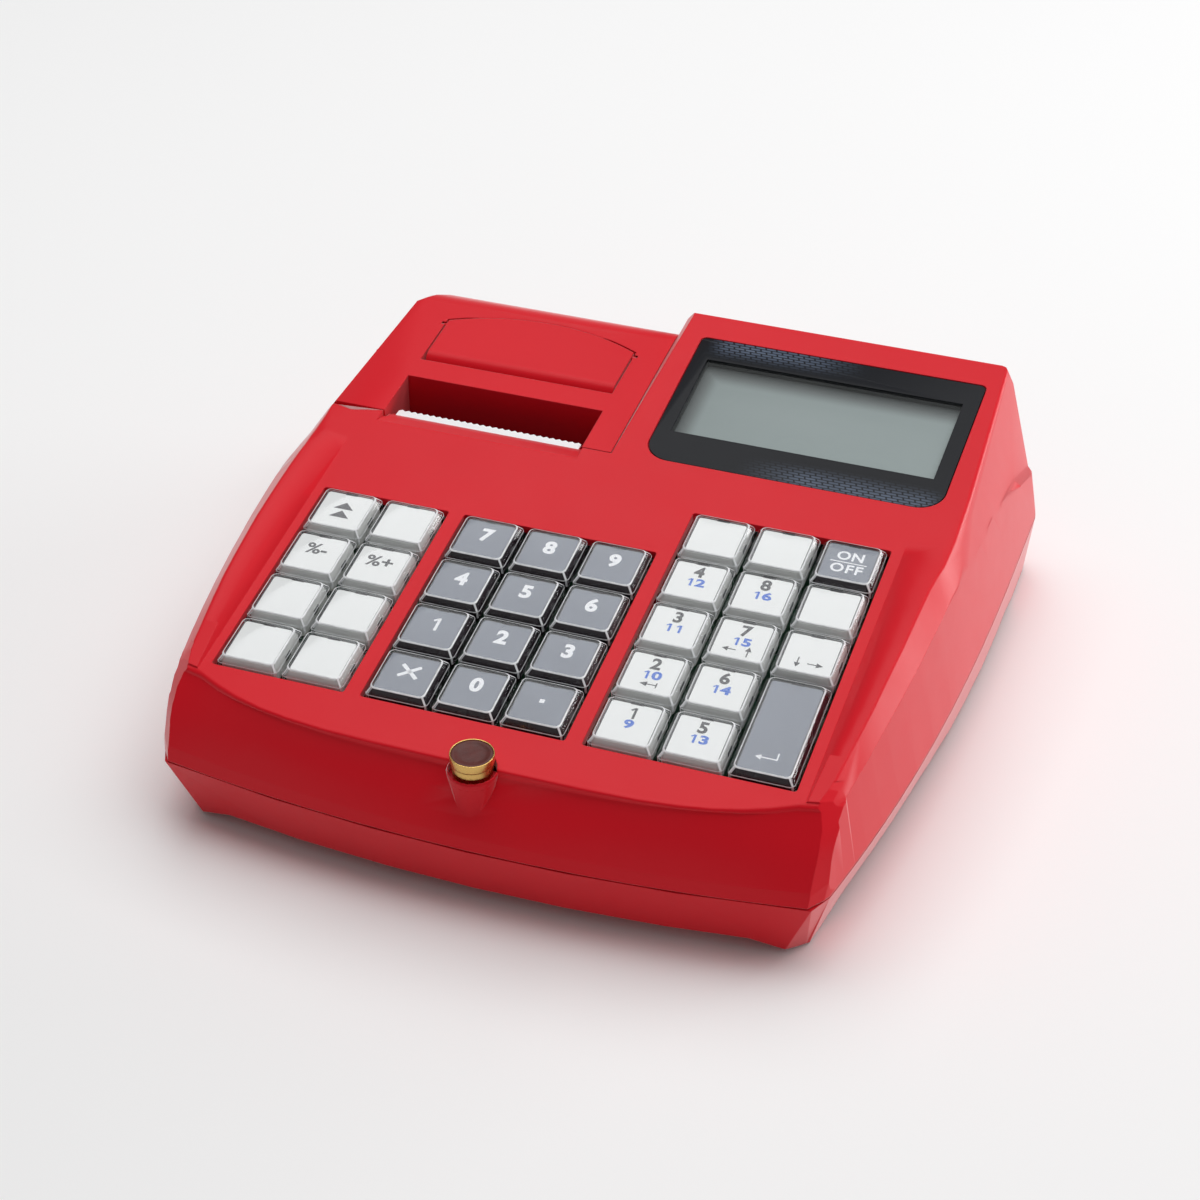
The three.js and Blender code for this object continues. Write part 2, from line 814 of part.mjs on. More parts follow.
function bezelGeometry() {
  const panel = run(bezelOutline(0), -bezelThickness, -fitGap / 3, "z", arcSteps * 2);
  return geometryOf(cut(panel, windowBox(0, -overrun, overrun)));
}

function lcdGeometry() {
  const top = -wall - fitGap;
  const module = windowBox(lcdMargin, top - lcdThickness, top - lcdThickness / 4);
  const glass = windowBox(lcdMargin / 2, top - lcdThickness / 2, top);
  return geometryOf(unite(module, glass));
}

// Seal boss on the front and the cup that stands in it
const sealY = lipY - fitGap * 3;
const sealTop = deckFrontHeight;

function sealBoss() {
  const foot = sealTop - bossDrop;
  const geometry = lathe([[0, foot], [bossFootRadius, foot], [bossTopRadius, sealTop - lipRound],
    [bossTopRadius - lipRound, sealTop], [0, sealTop]]);
  geometry.translate(sealX, sealY, 0);
  return solid(geometry);
}

function sealCupGeometry() {
  const inner = sealRadius - sealWall;
  const geometry = lathe([[0, 0], [sealRadius - sealWall, 0], [sealRadius, sealWall],
    [sealRadius, sealHeight - sealWall], [sealRadius - sealWall / 2, sealHeight], [inner, sealHeight],
    [inner, sealSunk], [0, sealSunk]]);
  return geometry;
}

function sealWaxGeometry() {
  const radius = sealRadius - sealWall - fitGap;
  const low = sealSunk + fitGap;
  const high = sealHeight - sealWaxDrop;
  return lathe([[0, low], [radius, low], [radius, high - sealWaxDrop], [radius - sealWaxDrop, high],
    [radius / 2, high + sealWaxDrop / 2], [0, high + sealWaxDrop / 2]]);
}

// Ticket printer places
const printerLeft = printerX - outletWidth / 2;
const printerRight = printerX + outletWidth / 2;
const outletBackY = frontY + outletBackInset;
const rollY = frontY + rollInset;
const troughRadius = rollRadius + rollClearance;
const troughZ = baseFloorHeight + wall + fitGap + tubWall + troughRadius;
const rollZ = troughZ - troughRadius + fitGap + rollRadius;
const platenY = frontY + platenInset;
const lidRightX = humpLeftX - fitGap;

// Everything over the compartment, which the lid fills
function lidZone(gap) {
  const far = -halfWidth - overrun;
  const high = bodyWidth / 2;
  const low = gap > 0 ? plateHeight : lidSeamHeight;
  return box(far, humpLeftX - fitGap + gap, lidFrontY + fitGap - gap, rearY + overrun, low, high);
}

// The display housing's left face leans away from the lid above the lid's top
function humpLeftLean() {
  const reach = bodyWidth / 4;
  const rings = [lidFrontY - fitGap, rearY + overrun].map((y) => {
    const low = lidHeight(Math.max(y, lidFrontY));
    return [
      [humpLeftX - reach, low],
      [humpLeftX, low],
      [humpLeftX + reach * humpLeftLeanShare, low + reach],
      [humpLeftX - reach, low + reach],
    ].map(([x, z]) => new THREE.Vector3(x, y, z));
  });
  return loft(rings);
}

function hingeBar(radius, from, to, steps = turnSteps * 2) {
  return bar("x", from, to, hingeY, hingeZ, radius, steps);
}

function troughShape(radius, top, back) {
  const shape = new THREE.Shape();
  shape.moveTo(rollY - radius, top);
  shape.lineTo(rollY - radius, troughZ);
  shape.absarc(rollY, troughZ, radius, Math.PI, Math.PI * 2);
  shape.lineTo(back, top);
  return shape;
}

// The printer's tub, solid, then its hollow
function tubForm(grow) {
  const halfTub = tubWidth / 2 + grow;
  const halfRoll = paperWidth / 2 + rollSideRoom + grow;
  const front = box(
    printerX - halfTub,
    printerX + halfTub,
    lidFrontY - (grow > 0 ? 0 : fitGap),
    lidFrontY + tubFrontLength + grow,
    tubFrontFloor - grow,
    plateHeight + (grow > 0 ? 0 : overrun),
  );
  const top = plateHeight + (grow > 0 ? 0 : overrun);
  const trough = run(
    troughShape(troughRadius + grow, top, rollY + troughRadius + grow),
    printerX - halfRoll,
    printerX + halfRoll,
    "x",
    smallTurnSteps,
  );
  return unite(front, trough);
}

// The compartment under the lid: its floor, front and side walls, tub, hinge trough and pin ears
function compartment() {
  const far = -halfWidth - overrun;
  const floor = box(far, humpLeftX + wall, lidFrontY - wall, rearY, plateHeight - plateThickness, plateHeight);
  const bulkhead = box(far, humpLeftX + wall, lidFrontY - wall, lidFrontY, plateHeight - plateThickness, bodyWidth);
  const sideWall = box(humpLeftX, humpLeftX + wall * 2, lidFrontY - wall, rearY, plateHeight - plateThickness, bodyWidth);
  const hingeTrough = hingeBar(lidRearRound + seamGap + tubWall, far, humpLeftX + wall);
  return unite(floor, bulkhead, sideWall, tubForm(tubWall), hingeTrough);
}

const earMiddles = [-leftEarInset, rightEarInset];

function earShape() {
  const reach = knuckleRadius;
  const root = lidRearRound + seamGap + tubWall / 2;
  return outlineOf([
    [hingeY - root, hingeZ - reach],
    [hingeY - root * 0.55, hingeZ - root * 0.84],
    [hingeY + reach * 0.7, hingeZ - reach * 0.9],
    [hingeY + reach, hingeZ],
    [hingeY + reach * 0.3, hingeZ + reach * 0.95],
    [hingeY - reach * 0.7, hingeZ + reach * 0.7],
  ]);
}

function pinEars() {
  return earMiddles.map((middle) => {
    const x = printerX + middle;
    return run(earShape(), x - earThickness / 2, x + earThickness / 2, "x");
  });
}

// The ramp in front of the ticket outlet and the ledge that carries the cutter
const rampFrontY = lidFrontY - rampLength * 0.45;
const rampEndY = rampFrontY + rampLength * 0.72;
const rampEndZ = deckHeight(rampFrontY) - rampDrop;
const ledgeTop = rampEndZ - cutterThickness - fitGap * 2;
const cutterBackY = rampEndY + fitGap;

function rampCutter() {
  const high = bodyWidth / 2;
  return run(
    outlineOf([[rampFrontY, deckHeight(rampFrontY)], [rampEndY, rampEndZ], [rampEndY, ledgeTop],
      [outletBackY, ledgeTop], [outletBackY, high], [rampFrontY, high]]),
    printerLeft - fitGap,
    printerRight + fitGap,
    "x",
  );
}

function cutterLedge() {
  const clear = seamGap;
  const end = cutterBackY + cutterDepth - toothDepth * 2;
  return run(
    outlineOf([[lidFrontY - wall, rampEndZ + rampDrop], [rampEndY, rampEndZ + rampDrop], [end, rampEndZ + rampDrop],
      [end, ledgeTop - wall], [lidFrontY - wall, ledgeTop - wall * 3]]),
    printerLeft + clear,
    printerRight - clear,
    "x",
  );
}

function cutterGeometry() {
  const low = ledgeTop + fitGap;
  const left = printerX - cutterWidth / 2;
  const pitch = cutterWidth / toothCount;
  const back = cutterBackY;
  const tip = cutterBackY + cutterDepth;
  const outline = [[left, back], [left + cutterWidth, back]];
  for (let tooth = toothCount; tooth > 0; tooth--) {
    outline.push([left + tooth * pitch, tip - toothDepth]);
    outline.push([left + (tooth - 0.5) * pitch, tip]);
  }
  outline.push([left, tip - toothDepth]);
  return geometryOf(run(outlineOf(outline), low, low + cutterThickness, "z"));
}

// Housing screws: place of each post
const screwPlaces = [
  [-(halfWidth - screwFrontInsetX), frontY + screwFrontInset],
  [halfWidth - screwFrontInsetX, frontY + screwFrontInset],
  [-(halfWidth - screwRearInset), rearY - screwRearInset * 1.4],
  [halfWidth - screwRearInset, rearY - screwRearInset * 1.4],
];

// Bosses that hold the key switch bank, in the deck's frame
const bankTop = -capDepth - keyTravel - fitGap - housingHeight;
const bankLeft = keyGroups[0].x - keyPitch / 2 - boardEdge;
const bankRight = keyGroups[2].x + keyPitch * 2.5 + boardEdge;
const bankFront = -3.5 * keyPitch - boardEdge;
const bankBack = 1.5 * keyPitch + boardEdge * 3;
const gapColumns = [
  (keyGroups[0].x + keyPitch + keyGroups[1].x) / 2,
  (keyGroups[1].x + keyPitch * 2 + keyGroups[2].x) / 2,
];

function bankBosses() {
  const radius = groupGap * 0.42;
  const bosses = [];
  for (const x of gapColumns) {
    for (const y of [bankFront + keyPitch / 2, 0]) {
      bosses.push(bar("z", bankTop + fitGap, -wall / 2, x, y, radius, smallTurnSteps / 2));
    }
  }
  return bosses;
}

function upperShellGeometry() {
  const skin = housingForm(0);
  const above = box(-bodyWidth, bodyWidth, -bodyDepth, bodyDepth, partingHeight + seamGap / 2, bodyWidth);
  const hollow = housingForm(wall);
  const outer = cut(unite(common(skin, above), common(sealBoss(), above)), hollow);
  const core = housingForm(wall / 2);
  const inside = common(unite(compartment(), cutterLedge()), core);
  const posts = screwPlaces.map(([x, y]) => {
    return common(bar("z", partingHeight + seamGap / 2, bodyWidth / 2, x, y, postRadius, smallTurnSteps), core);
  });
  const deckCutters = [
    ...keyWindows(),
    run(bezelOutline(fitGap), -bezelThickness - fitGap, overrun, "z", arcSteps * 2),
    windowBox(1, -overrun, overrun),
  ].map((cutter) => turned(cutter, deckFrame));
  const bosses = bankBosses().map((boss) => turned(boss, deckFrame));
  const whole = unite(outer, inside, ...posts, ...bosses);
  const opened = cut(
    whole,
    lidZone(fitGap),
    humpLeftLean(),
    hingeBar(lidRearRound + seamGap, -halfWidth - overrun, humpLeftX),
    tubForm(0),
    rampCutter(),
    ...deckCutters,
  );
  const ears = unite(...pinEars());
  const pinHole = hingeBar(
    pinRadius + fitGap,
    printerX - leftEarInset - earThickness,
    printerX + rightEarInset + earThickness,
    smallTurnSteps,
  );
  const sealHole = bar("z", sealTop - sealSunk - fitGap, sealTop + overrun, sealX, sealY, sealRadius + fitGap);
  const screwHoles = screwPlaces.map(([x, y]) => {
    return bar("z", 0, partingHeight + screwLength / 2, x, y, screwRadius + fitGap, smallTurnSteps);
  });
  return geometryOf(cut(unite(opened, ears, cutterLedgeKept()), pinHole, sealHole, ...screwHoles, ...rearWindows()));
}

// The ledge stands into the lid's outlet, so it is added back after the lid's space is cut
function cutterLedgeKept() {
  return cut(cutterLedge(), rampCutter());
}

// Customer display in the back of the display housing
function rearWindows() {
  const low = customerWindowBottom;
  const high = low + customerWindowHeight;
  const left = customerWindowX - customerWindowWidth / 2;
  const right = left + customerWindowWidth;
  const pocket = box(left - fitGap, right + fitGap, rearY - customerWindowThickness - fitGap, rearY + overrun,
    low - fitGap, high + fitGap);
  const opening = box(left + customerRim, right - customerRim, rearY - overrun, rearY + overrun,
    low + customerRim, high - customerRim);
  return [pocket, opening];
}

function customerWindowGeometry() {
  const low = customerWindowBottom;
  const left = customerWindowX - customerWindowWidth / 2;
  const back = rearY - fitGap;
  return geometryOf(box(left, left + customerWindowWidth, back - customerWindowThickness, back,
    low, low + customerWindowHeight));
}

function customerLcdGeometry() {
  const left = customerWindowX - customerWindowWidth / 2 + customerRim / 2;
  const front = rearY - wall - fitGap;
  const low = customerWindowBottom + customerRim / 2;
  const high = customerWindowBottom + customerWindowHeight - customerRim / 2;
  const width = customerWindowWidth - customerRim;
  return geometryOf(box(left, left + width, front - lcdThickness, front, low, high));
}

// Printer lid

function lidProfile(inset, low) {
  const radius = lidRearRound - inset;
  const lean = Math.atan(lidRise);
  const shape = new THREE.Shape();
  const front = lidFrontY + fitGap + inset;
  shape.moveTo(front, low);
  shape.lineTo(front, lidHeight(front) - inset);
  shape.absarc(hingeY, hingeZ, radius, Math.PI / 2 + lean, 0, true);
  shape.lineTo(hingeY + radius, low);
  return shape;
}

function lidSideWedge(inset) {
  const ridge = -halfWidth + lidRidgeInset + inset;
  const top = deckHeight(lidFrontY) - inset;
  const reach = bodyWidth / 4;
  return run(
    outlineOf([[ridge - reach, top - reach * lidStripFall], [ridge + reach, top + reach * lidStripFall],
      [-bodyWidth, top + reach * lidStripFall], [-bodyWidth, top - reach * lidStripFall]]),
    -bodyDepth,
    bodyDepth,
    "y",
  );
}

// The lid's rear left corner rounds more towards the top
function lidCornerForm(inset) {
  const levels = [partingHeight, bodyDepth / 2];
  const rings = levels.map((height) => {
    const rise = height - lidSeamHeight;
    const sideways = inset + lidCornerInset + rise * lidCornerLeanShare - halfWidth;
    const back = rearY - inset - rise * lidBackLeanShare;
    const radius = rearCornerRound + rise * lidRoundGrowShare;
    const corner = [];
    for (let step = 0; step <= arcSteps * 2; step++) {
      const angle = (Math.PI / 2) * (step / arcSteps / 2);
      corner.push([sideways + radius * (1 - Math.sin(angle)), back - radius * (1 - Math.cos(angle))]);
    }
    return [[halfWidth, frontY], [halfWidth, back], ...corner, [sideways, frontY]]
      .map(([x, y]) => new THREE.Vector3(x, y, height));
  });
  return loft(rings);
}

function lidForm(inset, low, right) {
  const block = run(lidProfile(inset, low), -halfWidth - overrun, right, "x", smallTurnSteps);
  return cut(common(block, sideForm(inset), lidCornerForm(inset)), lidSideWedge(inset));
}

// The flap's outline in plan: straight front and sides, a shallow arc at the back
const flapLeft = printerX - flapWidth / 2;
const flapRight = printerX + flapWidth / 2;
const flapNoseY = frontY + flapNoseInset;
const flapCornerY = frontY + flapCornerInset;
const flapPivotY = flapCornerY - trunnionRadius * 2;
const flapPivotZ = lidHeight(flapPivotY) - flapThickness / 2;

function flapOutline(grow, front) {
  const half = flapWidth / 2 + grow;
  const radius = (half * half + flapArcRise * flapArcRise) / (2 * flapArcRise);
  const spread = Math.asin(half / radius);
  const shape = new THREE.Shape();
  shape.moveTo(printerX - half, front);
  shape.lineTo(printerX + half, front);
  shape.lineTo(printerX + half, flapCornerY + grow);
  shape.absarc(printerX, flapCornerY + grow + flapArcRise - radius, radius, Math.PI / 2 - spread, Math.PI / 2 + spread);
  return shape;
}

function flapPocket(grow) {
  const slotY = frontY + fingerSlotInset - grow;
  const plan = run(flapOutline(fitGap + grow, slotY), 0, bodyWidth, "z", 10);
  const deepEnd = flapNoseY + flapNoseRadius * 2;
  const endY = rearY;
  const high = grow > 0 ? 0 : overrun;
  const depth = run(
    outlineOf([[slotY, lidHeight(slotY) - fingerSlotDepth - grow], [deepEnd + grow, lidHeight(deepEnd) - fingerSlotDepth - grow],
      [deepEnd + flapNoseRadius + grow, lidHeight(deepEnd) - flapPocketDepth - grow],
      [endY, lidHeight(endY) - flapPocketDepth - grow], [endY, lidHeight(endY) + high], [slotY, lidHeight(slotY) + high]]),
    flapLeft - overrun,
    flapRight + overrun,
    "x",
  );
  return common(plan, depth);
}

function flapGeometry() {
  const nose = flapNoseY;
  const round = flapNoseRadius;
  const profile = new THREE.Shape();
  profile.moveTo(rearY, lidHeight(rearY));
  profile.lineTo(nose + round, lidHeight(nose + round));
  profile.absellipse(nose + round, lidHeight(nose + round) - flapNoseDepth, round, flapNoseDepth, Math.PI / 2, Math.PI, false);
  profile.lineTo(nose + flapThickness, lidHeight(nose) - flapNoseDepth - flapThickness / 3);
  profile.lineTo(nose + round + flapThickness / 2, lidHeight(nose) - flapThickness * 1.1);
  profile.lineTo(rearY, lidHeight(rearY) - flapThickness);
  const plate = common(
    run(profile, flapLeft, flapRight, "x", 5),
    run(flapOutline(0, frontY), 0, bodyWidth, "z", 10),
  );
  const trunnion = bar("x", flapLeft - trunnionLength, flapRight + trunnionLength, flapPivotY, flapPivotZ,
    trunnionRadius, smallTurnSteps);
  return geometryOf(unite(plate, trunnion));
}

function lidGeometry() {
  const outer = lidForm(0, lidSeamHeight, lidRightX);
  const inner = lidForm(lidThickness, -overrun, lidRightX - lidThickness);
  const ear = common(
    hingeBar(lidRearRound, -halfWidth - overrun, printerX),
    cut(sideForm(0), sideForm(lidThickness)),
  );
  const skin = unite(cut(outer, inner), cut(ear, lidSideWedge(0)));
  const lowerBlock = box(
    printerLeft - outletWall,
    printerRight + outletWall,
    lidFrontY + outletWallInset,
    outletBackY + outletWall,
    outletWallBottom,
    lidSeamHeight + overrun,
  );
  const upperBlock = common(outer, box(
    printerLeft - outletWall,
    printerRight + outletWall,
    lidFrontY,
    outletBackY + outletWall,
    lidSeamHeight,
    bodyWidth,
  ));
  const outlet = box(printerLeft, printerRight, lidFrontY - overrun, outletBackY, 0, bodyWidth);
  const knuckles = earMiddles.map((middle) => {
    const inward = -Math.sign(middle);
    const near = printerX + middle + inward * (earThickness / 2 + fitGap * 2);
    const far = near + inward * knuckleWidth;
    const low = Math.min(near, far);
    const high = Math.max(near, far);
    const web = box(low, high, hingeY - knuckleRadius / 2, hingeY + knuckleRadius / 2, hingeZ,
      hingeZ + lidRearRound - lidThickness / 2);
    return unite(bar("x", low, high, hingeY, hingeZ, knuckleRadius, smallTurnSteps), web);
  });
  const pocketBlock = common(outer, flapPocket(pocketWall));
  const body = unite(skin, lowerBlock, upperBlock, pocketBlock, ...knuckles);
  const pinHole = hingeBar(pinRadius + fitGap, printerLeft - overrun * 2, lidRightX - lidThickness, smallTurnSteps);
  const platenHole = bar("x", printerLeft - overrun, printerRight + overrun, platenY, platenHeight,
    platenShaftRadius + fitGap, smallTurnSteps);
  const trunnionHole = bar("x", flapLeft - trunnionLength - fitGap, flapRight + trunnionLength + fitGap,
    flapPivotY, flapPivotZ, trunnionRadius + fitGap, smallTurnSteps);
  return geometryOf(cut(body, outlet, flapPocket(0), pinHole, platenHole, trunnionHole));
}

function hingePinGeometry() {
  const from = printerX + earMiddles[0] - earThickness / 2 - fitGap;
  const to = printerX + earMiddles[1] + earThickness / 2 + fitGap;
  return geometryOf(hingeBar(pinRadius, from, to, smallTurnSteps));
}

function platenGeometry() {
  const halfRubber = paperWidth / 2 + fitGap;
  const halfShaft = outletWidth / 2 + outletWall - fitGap;
  const rubberBar = bar("x", -halfRubber, halfRubber, 0, 0, platenRadius);
  const shaft = bar("x", -halfShaft, halfShaft, 0, 0, platenShaftRadius, smallTurnSteps);
  return geometryOf(unite(rubberBar, shaft));
}

function printHeadGeometry() {
  const touch = platenRadius + fitGap;
  const faceY = platenY - touch * Math.SQRT1_2;
  const faceZ = platenHeight - touch * Math.SQRT1_2;
  const reach = headFaceHalf * Math.SQRT1_2;
  const low = tubFrontFloor + fitGap;
  const front = faceY - headBlockFront;
  const outline = outlineOf([[front, low], [faceY + reach, low], [faceY + reach, faceZ - reach],
    [faceY - reach, faceZ + reach], [front, faceZ + reach]]);
  return geometryOf(run(outline, printerX - paperWidth / 2, printerX + paperWidth / 2, "x"));
}

function paperRollGeometry() {
  const half = paperWidth / 2;
  const profile = [[rollCoreRadius, -half], [rollRadius, -half], [rollRadius, half], [rollCoreRadius, half],
    [rollCoreRadius, -half]];
  const geometry = lathe(profile, turnSteps);
  geometry.rotateY(Math.PI / 2);
  return geometry;
}

// Key switch bank: board and switch housings with a square hole for each stem, in the deck's frame
function switchBankGeometry() {
  const board = box(bankLeft, bankRight, bankFront, bankBack, bankTop - boardThickness, bankTop);
  const housings = keys.map(({ x, y }) => {
    const half = housingWidth / 2;
    return box(x - half, x + half, y - half, y + half, bankTop - boardThickness / 2, bankTop + housingHeight);
  });
  const holes = keys.map(({ x, y }) => {
    const half = stemWidth / 2 + fitGap;
    return box(x - half, x + half, y - half, y + half, bankTop + fitGap, bankTop + overrun);
  });
  return geometryOf(cut(unite(board, ...housings), ...holes));
}

// Base tray

// How far the base draws in at the table: places along the half depth, and the inset as a share of the half width
const baseInsetShares = [
  [-0.85, 0.057],
  [-0.62, 0.064],
  [-0.4, 0.057],
  [-0.14, 0.048],
  [0.12, 0.03],
  [0.45, 0.02],
];

function basePlan(height, inset) {
  const drop = (partingHeight - height) / (partingHeight - footHeight);
  const insetAt = (y) => inset + halfWidth * shareAt(baseInsetShares, y / rearY) * drop;
  const frontInset = inset + baseFrontInset * drop;
  const side = planSide(partingHeight, inset).map(([x, y]) => [x - insetAt(y) + inset, y]);
  const [lastX, lastY] = side.pop();
  const cornerX = lastX - cornerCutWidth - cornerCutWidth * drop / 2;
  const front = [cornerX, cornerX * 0.62, cornerX * 0.3].map((x) => [x, frontCurve(x) + frontInset]);
  const right = [...side, [lastX, lastY + frontInset / 2], ...front, [0, frontY + frontInset]];
  const left = right.slice(0, -1).map(([x, y]) => [-x, y]).reverse();
  return [...right, ...left].map(([x, y]) => new THREE.Vector3(x, y, height));
}

function baseGeometry() {
  const top = partingHeight - seamGap / 2;
  const skin = loft([basePlan(footHeight, 0), basePlan(top, 0)]);
  const floor = baseFloorHeight + wall;
  const hollow = loft([basePlan(floor, wall), basePlan(top + overrun, wall)]);
  const archX = halfWidth - footWidth;
  const archY = rearY - footLength;
  const underside = baseFloorHeight;
  const between = (reach) => outlineOf([[-reach, footHeight - overrun], [reach, footHeight - overrun],
    [reach, footHeight], [reach - footRamp, underside], [footRamp - reach, underside], [-reach, footHeight]]);
  const arches = [
    run(between(archX), -bodyDepth, bodyDepth, "y"),
    run(between(archY), -bodyWidth, bodyWidth, "x"),
  ];
  const posts = screwPlaces.map(([x, y]) => bar("z", floor - wall, top, x, y, postRadius, smallTurnSteps));
  const postParts = posts.map((post) => common(post, skin));
  const screwHoles = screwPlaces.flatMap(([x, y]) => [
    bar("z", 0, bodyWidth, x, y, screwRadius + fitGap, smallTurnSteps),
    bar("z", -overrun, screwSeat, x, y, screwHeadRadius + fitGap, smallTurnSteps),
  ]);
  const padHoles = padPlaces.map(([x, y]) => {
    return bar("z", -overrun, padThickness + fitGap, x, y, padRadius + fitGap, smallTurnSteps);
  });
  const boardPosts = mainBoardCorners().map(([x, y]) => {
    return bar("z", floor - wall / 2, floor + mainBoardRise - fitGap, x, y, postRadius, smallTurnSteps / 2);
  });
  const sockets = socketList().map(({ x, width }) => {
    return box(x - width / 2 - fitGap, x + width / 2 + fitGap, rearY - overrun, rearY + overrun,
      boardTop - boardThickness / 2 - fitGap, boardTop + socketHeight + fitGap);
  });
  return geometryOf(cut(
    unite(cut(skin, hollow, ...arches), ...postParts, ...boardPosts),
    ...screwHoles,
    ...padHoles,
    ...sockets,
  ));
}

const screwSeat = baseFloorHeight + wall + screwHeadHeight / 2;

const padPlaces = [
  [-(halfWidth - padInsetX), frontY + padInsetY + padRadius],
  [halfWidth - padInsetX, frontY + padInsetY + padRadius],
  [-(halfWidth - padInsetX / 2 - padRadius), rearY - padInsetY / 2 - padRadius * 1.6],
  [halfWidth - padInsetX / 2 - padRadius, rearY - padInsetY / 2 - padRadius * 1.6],
];

function footPadGeometry() {
  const edge = padThickness / 4;
  return lathe([[0, 0], [padRadius - edge, 0], [padRadius, edge], [padRadius, padThickness], [0, padThickness]],
    smallTurnSteps);
}

function screwGeometry() {
  const head = screwHeadHeight;
  return lathe([[0, 0], [screwHeadRadius, 0], [screwHeadRadius, head], [screwRadius, head],
    [screwRadius, screwLength], [0, screwLength + screwRadius]], smallTurnSteps);
}

// Electronics

const boardBottom = baseFloorHeight + wall + mainBoardRise;
const boardTop = boardBottom + boardThickness;
const boardBackY = rearY - wall * 2;

function mainBoardCorners() {
  const inset = postRadius;
  const lowX = mainBoardX - mainBoardWidth / 2 + inset;
  const highX = mainBoardX + mainBoardWidth / 2 - inset;
  const lowY = boardBackY - mainBoardLength + inset;
  const highY = boardBackY - inset - socketDepth;
  return [[lowX, lowY], [highX, lowY], [lowX, highY], [highX, highY]];
}

function socketList() {
  return [
    { x: socketRightX, width: dcSocketWidth },
    { x: socketRightX - socketSpacing, width: drawerSocketWidth },
    { x: socketRightX - socketSpacing * 2, width: serialSocketWidth },
  ];
}

function mainBoardGeometry() {
  const low = mainBoardX - mainBoardWidth / 2;
  const board = box(low, low + mainBoardWidth, boardBackY - mainBoardLength, boardBackY, boardBottom, boardTop);
  const blocks = socketList().map(({ x, width }) => {
    const back = rearY - socketProud;
    const block = box(x - width / 2, x + width / 2, back - socketDepth, back, boardTop - boardThickness / 2,
      boardTop + socketHeight);
    const mouthWidth = width / 2 - fitGap * 5;
    const mouth = box(x - mouthWidth, x + mouthWidth, back - socketDepth / 2, back + overrun,
      boardTop + fitGap * 5, boardTop + socketHeight - fitGap * 5);
    return cut(block, mouth);
  });
  const chip = box(mainBoardX - keyPitch, mainBoardX, boardBackY - mainBoardLength / 2 - keyPitch,
    boardBackY - mainBoardLength / 2, boardTop - fitGap, boardTop + boardThickness);
  return geometryOf(unite(board, chip, ...blocks));
}

function batteryGeometry() {
  const low = batteryX - batteryWidth / 2;
  const front = frontY + batteryInset;
  const bottom = baseFloorHeight + wall + fitGap;
  const shape = roundedRectangle(front, front + batteryLength, bottom, bottom + batteryHeight,
    [batteryRound, batteryRound, batteryRound, batteryRound]);
  return geometryOf(run(shape, low, low + batteryWidth, "x", 3));
}

// The scene

const register = new THREE.Group();

function place(parent, name, geometry, look, x = 0, y = 0, z = 0) {
  const mesh = new THREE.Mesh(geometry, look);
  mesh.name = name;
  mesh.position.set(x, y, z);
  parent.add(mesh);
  return mesh;
}

const deck = new THREE.Group();
deck.position.set(0, deckOriginY, deckHeight(deckOriginY));
deck.rotation.x = deckSlope;
register.add(deck);

place(register, "upper_shell", upperShellGeometry(), redPlastic());
place(register, "base_shell", baseGeometry(), redPlastic());

const printer = new THREE.Group();
register.add(printer);
place(printer, "printer_lid", lidGeometry(), redPlastic());
place(printer, "lid_release_flap", flapGeometry(), redPlastic());
place(printer, "lid_hinge_pin", hingePinGeometry(), steel());
place(printer, "cutter_bar", cutterGeometry(), steel());
place(printer, "platen_roller", platenGeometry(), rubber(), printerX, platenY, platenHeight);
place(printer, "print_head", printHeadGeometry(), blackPlastic());
place(printer, "paper_roll", paperRollGeometry(), paper(), printerX, rollY, rollZ);

place(deck, "display_bezel", bezelGeometry(), blackPlastic());
place(deck, "operator_lcd", lcdGeometry(), lcdGlass());
place(deck, "key_switch_bank", switchBankGeometry(), boardGreen());
const keyShapes = { 1: keyGeometry(1), 2: keyGeometry(2) };
for (const key of keys) {
  place(deck, key.name, keyShapes[key.rows].clone(), key.dark ? greyLabelKey() : whiteLabelKey(), key.x, key.y);
}

place(register, "customer_window", customerWindowGeometry(), darkWindow());
place(register, "customer_lcd", customerLcdGeometry(), lcdGlass());
place(register, "seal_cup", sealCupGeometry(), brass(), sealX, sealY, sealTop - sealSunk);
place(register, "seal_wax", sealWaxGeometry(), sealWax(), sealX, sealY, sealTop - sealSunk);

place(register, "main_board", mainBoardGeometry(), boardGreen());
place(register, "battery_pack", batteryGeometry(), blackPlastic());
padPlaces.forEach(([x, y], corner) => {
  place(register, `foot_pad_${corner + 1}`, footPadGeometry(), rubber(), x, y, 0);
});
screwPlaces.forEach(([x, y], corner) => {
  place(register, `case_screw_${corner + 1}`, screwGeometry(), steel(), x, y, screwSeat - screwHeadHeight - fitGap);
});

export default register;
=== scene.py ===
"""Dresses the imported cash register: its shells, keys, displays, seal, printer, materials and stage.

It is laid out as a Blender add-on and run as a script. All is in metres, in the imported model's frame.
"""

